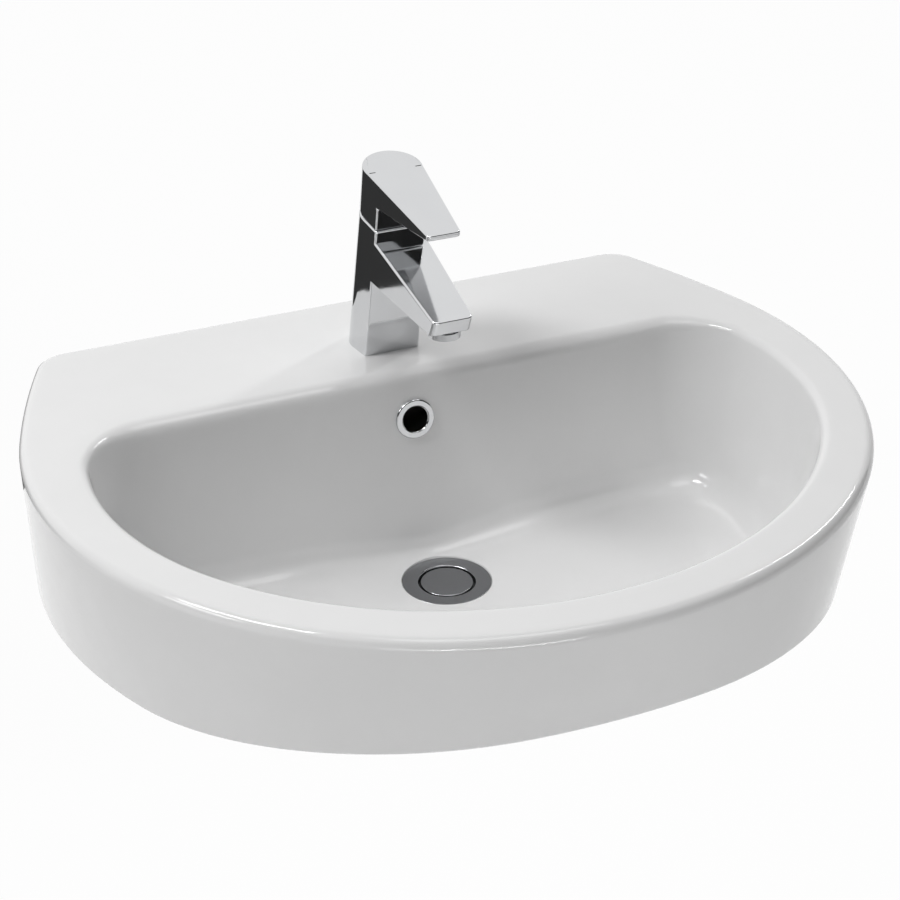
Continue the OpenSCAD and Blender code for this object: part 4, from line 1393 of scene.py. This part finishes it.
@dataclass
class Tap:
    """Leaning tower with a wedge spout, a lever and a fine outlet.

    Attributes:
        y: Distance from the wall to the tap's axis.
        lean_deg: Forward lean.
        outlet_y: Distance from the wall to the outlet's axis.
        stud_y: Distance from the wall to the fixing stud.
        front: Distance from the tap's axis to its flat front.
        low_r: Radius of the round back where the taper starts.
        top_r: Radius of the round back at the top.
        height: Height of the tower along its axis.
        root_top: Height on the front corner at which the spout's top starts.
        root_low: Height on the front corner at which the spout's underside starts.
        tip: Half width, depth and height of the spout's tip, at its top and at its underside.
        tip_round: Radius of the tip's corners in plan.
        side_deg: Slope of the tower's flat sides in plan.
        foot: How far below the deck the taper starts.
        tip_zone: Depth and half width past which an edge is one of the tip's upright corners.
        edge_round: Rounding of the other edges.
        seat: Section of the cartridge's seat.
        hollow: Section of the hollow inside the tower, open to below.
        stud_boss: Section of the boss that the hollow leaves around the stud.
        rib: The rib that it leaves in front of the stud.
        stud_hole: Section of the stud's hole.
        ports: Place of a waterway port across and along the depth, from the tap's axis.
        port: Its section.
        waterway_at: Depth, height and slope in degrees of the way to the outlet.
        waterway: Its section.
        bore: Section of the outlet's bore.
        groove: Inner and outer radius and depth of the gasket's groove.
        marks: Place of the right mark's nearly black colour in the lever's own frame.
        no_round: Places on the lever whose edges stay crisp: the marks and the screw's hole.
        cup: Radius and height of the lever's inside, whose edges stay crisp.
        vanes_z: Height of the outlet's vanes over the rim.
        thread_low: How far under the rim the stud's thread starts.
    """

    y: float = 79.5
    lean_deg: float = 10.7
    outlet_y: float = 198.5
    stud_y: float = 91.0
    front: float = 21.5
    low_r: float = 24.4
    top_r: float = 22.0
    height: float = 113.4
    root_top: float = 103.41
    root_low: float = 69.08
    tip: Box = ((15.1, -214.7, 74.2), (15.36, -209.3, 61.6))
    tip_round: float = 4.0
    side_deg: float = 7.0
    foot: float = 10.0
    tip_zone: Pair = (-209.0, 12.0)
    edge_round: float = 1.7
    seat: Profile = ((17.8, 78.0), (17.8, 130.0))
    hollow: Profile = ((18.0, -10.0), (18.0, 66.0))
    stud_boss: Profile = ((6.0, 2.0), (6.0, 26.0))
    rib: Box = ((-3.0, -104.5, 2.0), (3.0, -90.5, 26.0))
    stud_hole: Profile = ((4.0, -5.0), (4.0, 22.0))
    ports: Pair = (8.5, 3.0)
    port: Profile = ((5.0, 60.0), (5.0, 75.0), (3.0, 75.0), (3.0, 82.0))
    waterway_at: Triple = (-199.5, 68.2, -84.1)
    waterway: Profile = ((4.5, 0.0), (4.5, 94.0))
    bore: Profile = ((10.5, 50.0), (10.5, 66.0), (8.0, 66.0), (8.0, 70.5))
    groove: Triple = (18.6, 21.0, 2.0)
    marks: Box = ((14.5, -5.6, 151.6), (20.5, -4.3, 152.25))
    no_round: tuple[Box, Box] = (
        ((14.0, -7.0, 151.0), (21.0, -3.0, math.inf)),
        ((-1.0, 12.0, 120.0), (4.0, math.inf, 134.0)),
    )
    cup: Pair = (19.5, 150.0)
    vanes_z: float = 56.9
    thread_low: float = 51.0

    def axis_place(self, point: Vector) -> Vector:
        """Turns a place in the part's frame into one in the tap's own leaning frame.

        Args:
            point: The place in millimetres.

        Returns:
            The same place, counted from the tap's axis and along it.
        """
        lean = math.radians(self.lean_deg)
        y, z = point.y + self.y, point.z - RIM_Z
        along, up = y * math.cos(lean) + z * math.sin(lean), z * math.cos(lean) - y * math.sin(lean)
        return Vector((point.x, along, up))

    def upright(self, x: float, y: float, z: float) -> Triple:
        """Turns a point of the tap's own leaning frame into the rim's frame."""
        lean = math.radians(self.lean_deg)
        return (x, -self.y + y * math.cos(lean) - z * math.sin(lean), y * math.sin(lean) + z * math.cos(lean))

    def plan_point(self, angle_deg: float | None, side: int, z: float) -> Pair:
        """Gives a point of the tower's outline at one height.

        Args:
            angle_deg: Direction on the round back, or None for the front corner.
            side: 1 for the right side and -1 for the left.
            z: Height along the tap's axis.

        Returns:
            Place across and along the depth in the tap's own frame.
        """
        radius = self.low_r + (self.top_r - self.low_r) * (z + self.foot) / (self.height + self.foot)
        flat = math.radians(self.side_deg)
        if angle_deg is None:
            return (side * (radius - self.front * math.sin(flat)) / math.cos(flat), -self.front)
        angle = math.radians(angle_deg)
        return (side * radius * math.cos(angle), radius * math.sin(angle))

    def on_deck(self, angle_deg: float | None, side: int) -> float:
        """Finds where an outline point meets the deck.

        Args:
            angle_deg: Direction on the round back, or None for the front corner.
            side: 1 for the right side and -1 for the left.

        Returns:
            Its height along the tap's axis.
        """
        lean = math.radians(self.lean_deg)
        height = 0.0
        for _ in range(6):
            height = -self.plan_point(angle_deg, side, height)[1] * math.tan(lean)
        return height

    def cast_shell(self) -> Object:
        """Builds the tower and spout as one closed shell, with the spout flush with the sides.

        Returns:
            The shell, before its cavities are cut.
        """
        angles = [-self.side_deg + (90.0 + self.side_deg) * k / 28 for k in range(29)]
        ends = [(None, 1)] + [(a, 1) for a in angles] + [(a, -1) for a in angles[-2::-1]] + [(None, -1)]
        places = [(a, side, self.on_deck(a, side)) for a, side in ends]
        places += [(a, side, self.height) for a, side in ends]
        places += [(None, side, z) for side in (1, -1) for z in (self.root_top, self.root_low)]
        points = [self.upright(*self.plan_point(*place), place[2]) for place in places]
        points += [(side * x, y, z) for x, y, z in self.tip for side in (1, -1)]
        count = len(ends)
        last = count - 1
        low, high = list(range(count)), list(range(count, 2 * count))
        # Spout's corners on the tower, then at its tip: r and l for the side, t and b for top and bottom
        rt, rb, lt, lb, tip_rt, tip_lt, tip_rb, tip_lb = range(2 * count, 2 * count + 8)
        faces = [low[::-1], high]
        faces.append([low[0], low[1], high[1], high[0], rt, rb])
        faces.append([low[last - 1], low[last], lb, lt, high[last], high[last - 1]])
        faces += [[low[k], low[k + 1], high[k + 1], high[k]] for k in range(1, last - 1)]
        faces += [[lt, rt, high[0], high[last]], [low[last], low[0], rb, lb]]
        faces += [[rt, lt, tip_lt, tip_rt], [lb, rb, tip_rb, tip_lb], [tip_lt, tip_lb, tip_rb, tip_rt]]
        faces += [[rb, rt, tip_rt, tip_rb], [lt, lb, tip_lb, tip_lt]]
        shell = mesh_object("tap_casting", metres(np.array(points)), faces)
        face_outwards(shell.data)
        return shell

    def cast_body(self) -> Object:
        """Rounds the shell's edges and cuts the cartridge seat, the outlet and the space below.

        Returns:
            The finished casting.
        """
        shell = self.cast_shell()
        bm = bmesh.new()
        bm.from_mesh(shell.data)
        depth, half = self.tip_zone
        round_edges(bm, self.tip_round, 8, lambda m: m.y < depth and abs(m.x) > half)
        round_edges(bm, self.edge_round, 4, lambda m: m.z > RIM_Z + 3.0)
        bm.to_mesh(shell.data)
        bm.free()
        fix_order(shell.data)
        deck = Matrix.Translation((0.0, -self.y, 0.0))
        lean = deck @ Matrix.Rotation(math.radians(self.lean_deg), 4, "X")
        outlet = Matrix.Translation((0.0, -self.outlet_y, 0.0))
        stud = Matrix.Translation((0.0, -self.stud_y, 0.0))
        drill(shell, self.seat, lean)
        hollow = turned_object("hollow", self.hollow, lean)
        drill(hollow, self.stud_boss, stud)
        cut(hollow, box_object("rib", self.rib), "DIFFERENCE")
        cut(shell, hollow, "DIFFERENCE")
        drill(shell, self.stud_hole, stud)
        for side in (-1, 1):
            drill(shell, self.port, lean @ Matrix.Translation((side * self.ports[0], self.ports[1], 0.0)))
        y, z, slope_deg = self.waterway_at
        slope = Matrix.Rotation(math.radians(slope_deg), 4, "X")
        drill(shell, self.waterway, Matrix.Translation((0.0, y, z)) @ slope)
        drill(shell, self.bore, outlet)
        inner, outer, bottom = self.groove
        groove = turned_object("groove", ((outer, -1.0), (outer, bottom)), deck)
        drill(groove, ((inner, -2.0), (inner, bottom + 1.0)), deck)
        cut(shell, groove, "DIFFERENCE")
        even_normals(shell)
        dress(shell, CHROME, "fixed", "tap_body")
        return shell

    def colour_marks(self, lever: Object) -> None:
        """Colours the two short recessed marks on the lever nearly black.

        Args:
            lever: The lever piece.
        """
        # The recessed marks get a flat, nearly black colour
        lever.data.materials.append(DARK_MARK_FILL.material())
        for face in lever.data.polygons:
            own = self.axis_place(face.center * 1000.0)
            if within((abs(own.x), own.y, own.z), self.marks):
                face.material_index = 1

    def build(self) -> list[Object]:
        """Builds the body, the lever, the outlet's vanes and the stud's thread.

        Returns:
            The new pieces.
        """

        def outer_lever(middle: Vector) -> bool:
            """Says whether an edge is on the outside of the lever.

            Args:
                middle: The edge's middle point.

            Returns:
                True for an edge to round.
            """
            own = self.axis_place(middle)
            kept = any(within((abs(own.x), own.y, own.z), box) for box in self.no_round)
            inside = math.hypot(own.x, own.y) < self.cup[0] and own.z < self.cup[1]
            return not (kept or inside)

        body = self.cast_body()
        lever = SoftEdges("lever", "lever_casting", "handle", "lever", 1.2, 4, CHROME, outer_lever).build()
        self.colour_marks(lever)
        sizes = {"Radius": 0.0046, "Vanes": 20, "Thickness": 0.0005, "Length": 0.0052, "Depth": 0.0012}
        place = Matrix.Translation((0.0, -self.outlet_y / 1000.0, (RIM_Z + self.vanes_z) / 1000.0))
        vanes = OutletGrid("outlet_vanes", OUTLET, sizes).build(place)
        dress(vanes, OUTLET, "fixed")
        sizes = {"Radius": 0.00395, "Pitch": 0.00125, "Turns": 26.0, "Steps": 28, "Ridge": 0.0009}
        place = Matrix.Translation((0.0, -self.stud_y / 1000.0, (RIM_Z - self.thread_low) / 1000.0))
        thread = ScrewThread("stud_thread", STEEL, sizes).build(place)
        dress(thread, STEEL, "fixed")
        return [body, lever, vanes, thread]


@dataclass
class Waste:
    """Pop-up waste: the CAD solids with their thread grown on the tail.

    Attributes:
        y: Distance from the wall to the waste's axis.
        top: Height of the flange's top in the part's frame, in millimetres.
        tail_r: Radius of the tail.
        pitch: Thread pitch of the tail.
        thread_low: How far under the flange's top the thread starts.
        opening: Radii between which the edge around the opening lies.
    """

    y: float = 202.0
    top: float = -49.2
    tail_r: float = 20.95
    pitch: float = 2.309
    thread_low: float = 88.6
    opening: Pair = (20.0, 22.5)

    def build(self) -> list[Object]:
        """Builds the body with a soft edge around its opening, and the tail's thread.

        Returns:
            The new pieces.
        """

        def opening_edge(middle: Vector) -> bool:
            """Keeps the edge around the opening, on top of the flange."""
            near, far = self.opening
            return middle.z > self.top - 0.3 and near < math.hypot(middle.x, middle.y + self.y) < far

        body = SoftEdges("waste_body", "waste_casting", "fixed", "waste", 1.3, 4, WASTE_CHROME, opening_edge)
        # The thread's root is sunk 0.1 mm into the tail
        root, pitch = self.tail_r / 1000.0 - 0.0001, self.pitch / 1000.0
        sizes = {"Radius": root, "Pitch": pitch, "Turns": 10.0, "Steps": 72, "Ridge": 0.0016}
        place = Matrix.Translation((0.0, -self.y / 1000.0, (self.top - self.thread_low) / 1000.0))
        pieces = [body.build(), ScrewThread("waste_thread", WASTE_CHROME, sizes).build(place)]
        dress(pieces[1], WASTE_CHROME, "fixed")
        return pieces


@dataclass(frozen=True)
class Lamp:
    """A soft box.

    Attributes:
        name: Its name.
        ends: Middle of its two short sides, in metres.
        width: Length of its short side in metres.
        aim: Point it faces.
        watts: Power.
    """

    name: str
    ends: Box
    width: float
    aim: Triple
    watts: float

    def build(self) -> None:
        """Adds the lamp to the scene."""
        first, last = Vector(self.ends[0]), Vector(self.ends[1])
        middle = (first + last) / 2
        light = bpy.data.lights.new(self.name, "AREA")
        light.shape = "RECTANGLE"
        light.size, light.size_y = (last - first).length, self.width
        light.energy = self.watts
        away = (middle - Vector(self.aim)).normalized()
        along = (last - first) - (last - first).dot(away) * away
        along.normalize()
        turn = Matrix((along, away.cross(along), away)).transposed().to_4x4()
        lamp = bpy.data.objects.new(self.name, light)
        lamp.matrix_world = Matrix.Translation(middle) @ turn
        bpy.context.scene.collection.objects.link(lamp)


@dataclass(frozen=True)
class DarkCard:
    """A black card beside the set, which metal and glaze reflect and the camera doesn't see.

    Attributes:
        name: Its name.
        corners: Four corners in metres.
    """

    name: str
    corners: tuple[Triple, ...]

    def build(self) -> None:
        """Adds the card to the stage."""
        card = mesh_object(self.name, np.array(self.corners), [(0, 1, 2, 3)])
        card.visible_camera = False
        card.data.materials.append(FELT.material())


@dataclass
class Studio:
    """Floor, lamps, dark cards, surroundings and the camera at the photograph's angle.

    Attributes:
        floor_z: Height of the floor in metres, for a rim 850 mm above it.
        lens: Focal length in millimetres on a 36 mm sensor.
        eye: Camera place in metres.
        axes: The camera's right, up and back.
        lamps: The soft boxes.
        cards: The dark cards.
    """

    floor_z: float = -0.755
    lens: float = 86.356
    eye: Triple = (-0.54906, -1.44258, 0.80698)
    axes: tuple[Triple, Triple, Triple] = (
        (0.913686, -0.406421, -0.000311),
        (0.196000, 0.439962, 0.876366),
        (-0.356036, -0.800785, 0.481645),
    )
    lamps: tuple[Lamp, ...] = (
        Lamp("key_box", ((-1.33, 0.23, 1.66), (-0.91, -0.5, 1.95)), 0.3, (-0.1, -0.35, 0.0), 14.5),
        Lamp("right_box", ((1.16, 0.28, 1.59), (1.58, 0.58, 1.13)), 0.1, (0.1, -0.4, 0.09), 4.6),
        Lamp("front_box", ((-0.95, -2.4, -0.34), (0.35, -2.3, -0.38)), 0.1, (0.0, -0.4, 0.0), 8.6),
        Lamp("left_box", ((-2.1, -0.7, 1.5), (-2.1, 0.1, 1.5)), 0.5, (0.2, -0.3, 0.0), 8.5),
        Lamp("low_box", ((-1.5, -2.2, -0.45), (-0.8, -2.5, -0.45)), 0.4, (0.0, -0.4, 0.0), 3.5),
        Lamp("top_box", ((-0.5, -0.6, 2.1), (0.7, -0.6, 2.1)), 0.8, (0.0, -0.3, 0.0), 6.4),
    )
    cards: tuple[DarkCard, ...] = (
        DarkCard("front_card", ((-3.0, -2.8, 0.3), (3.0, -2.8, 0.3), (3.0, -2.2, 2.8), (-3.0, -2.2, 2.8))),
        DarkCard("left_card", ((-2.6, 0.1, 0.1), (-2.6, -2.7, 0.1), (-2.3, -2.7, 2.6), (-2.3, 0.1, 2.6))),
        DarkCard("right_card", ((2.6, -2.7, 0.1), (2.6, 0.5, 0.1), (2.3, 0.5, 2.6), (2.3, -2.7, 2.6))),
        DarkCard("back_card", ((-2.2, 0.5, -0.3), (-0.1, 0.5, -0.3), (-0.1, 2.4, -0.1), (-2.2, 2.4, -0.1))),
    )

    def build(self) -> None:
        """Builds everything around the object."""
        scene = bpy.context.scene
        scene.view_settings.view_transform = "Standard"
        self.build_floor()
        self.build_world()
        for lamp in self.lamps:
            lamp.build()
        for card in self.cards:
            card.build()
        camera_data = bpy.data.cameras.new("camera")
        camera_data.lens = self.lens
        camera_data.sensor_width = 36.0
        camera_data.clip_end = 100.0
        camera = bpy.data.objects.new("camera", camera_data)
        turn = Matrix(self.axes).transposed().to_4x4()
        camera.matrix_world = Matrix.Translation(self.eye) @ turn
        scene.collection.objects.link(camera)
        scene.camera = camera

    def white_to_eye(self, tree: NodeTree, share: float) -> NodeSocket:
        """Gives how much plain white the camera and clear reflections see.

        Args:
            tree: The material's or the surroundings' tree.
            share: The most white that is mixed in.

        Returns:
            The mixing factor's socket.
        """
        path = add_node(tree, "ShaderNodeLightPath").outputs
        seen = compute(tree, "MAXIMUM", path["Is Camera Ray"], path["Is Glossy Ray"])
        clear = compute(tree, "MAXIMUM", seen, path["Is Transmission Ray"])
        return compute(tree, "MULTIPLY", clear, share)

    def build_floor(self) -> None:
        """Builds the wide pale floor that fades into the surroundings."""
        reach = 14.0
        plan = [(-reach, -reach), (reach, -reach), (reach, reach), (-reach, reach)]
        floor = mesh_object("floor", np.array([(x, y, self.floor_z) for x, y in plan]), [(0, 1, 2, 3)])
        material = bpy.data.materials.new("painted_studio_floor")
        tree, out = fresh_tree(material, "ShaderNodeOutputMaterial")
        place = add_node(tree, "ShaderNodeTexCoord").outputs["Object"]
        paint = blend(tree, noise(tree, place, 6.0, 2.0), linear("#f2f2f2"), linear("#eeeeee"))
        matt = add_node(tree, "ShaderNodeBsdfDiffuse", {"Color": paint})
        white = add_node(tree, "ShaderNodeEmission", {"Color": (1.0, 1.0, 1.0, 1.0), "Strength": 1.0})
        share = self.white_to_eye(tree, 0.97)
        mixed = add_node(tree, "ShaderNodeMixShader", {0: share, 1: matt.outputs[0], 2: white.outputs[0]})
        tree.links.new(mixed.outputs[0], out.inputs["Surface"])
        floor.data.materials.append(material)

    def build_world(self) -> None:
        """Builds surroundings that are brighter behind and above than in front."""
        world = bpy.data.worlds.new("studio")
        bpy.context.scene.world = world
        tree, out = fresh_tree(world, "ShaderNodeOutputWorld")
        place = add_node(tree, "ShaderNodeTexCoord").outputs["Generated"]
        apart = add_node(tree, "ShaderNodeSeparateXYZ", {"Vector": place})
        values = {"Value": apart.outputs["Y"], "From Min": -0.3, "From Max": 0.5}
        ramp = add_node(tree, "ShaderNodeMapRange", values, interpolation_type="SMOOTHSTEP").outputs["Result"]
        sky = blend(tree, ramp, linear("#5c5c5c"), linear("#e2e2e2"))
        around = add_node(tree, "ShaderNodeBackground", {"Color": sky, "Strength": 0.85})
        white = add_node(tree, "ShaderNodeBackground", {"Color": (1.0, 1.0, 1.0, 1.0), "Strength": 1.0})
        share = self.white_to_eye(tree, 1.0)
        mixed = add_node(tree, "ShaderNodeMixShader", {0: share, 1: around.outputs[0], 2: white.outputs[0]})
        tree.links.new(mixed.outputs[0], out.inputs["Surface"])


def dress_nodes() -> None:
    """Gives every carried-over CAD node the finish of its real counterpart."""
    for name, finish in NODE_FINISHES.items():
        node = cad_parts[name]
        for slot in node.material_slots:
            slot.material = finish.material()
        LOG.info("dressed %s in %s", name, finish.name)


def report(pieces: Sequence[Object]) -> None:
    """Logs each new piece with its number of faces.

    Args:
        pieces: The pieces that were built.
    """
    for piece in pieces:
        LOG.info("built %s with %d faces", piece.name, len(piece.data.polygons))


def main() -> None:
    """Builds the sub-assemblies in order."""
    logging.basicConfig(level=logging.INFO, format="%(name)s: %(message)s")
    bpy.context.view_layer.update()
    Studio().build()
    basin = CeramicBasin()
    ceramic = basin.build()
    basin.dress(ceramic)
    report([ceramic])
    report(Tap().build())
    report(Waste().build())
    dress_nodes()


if __name__ == "__main__":
    main()
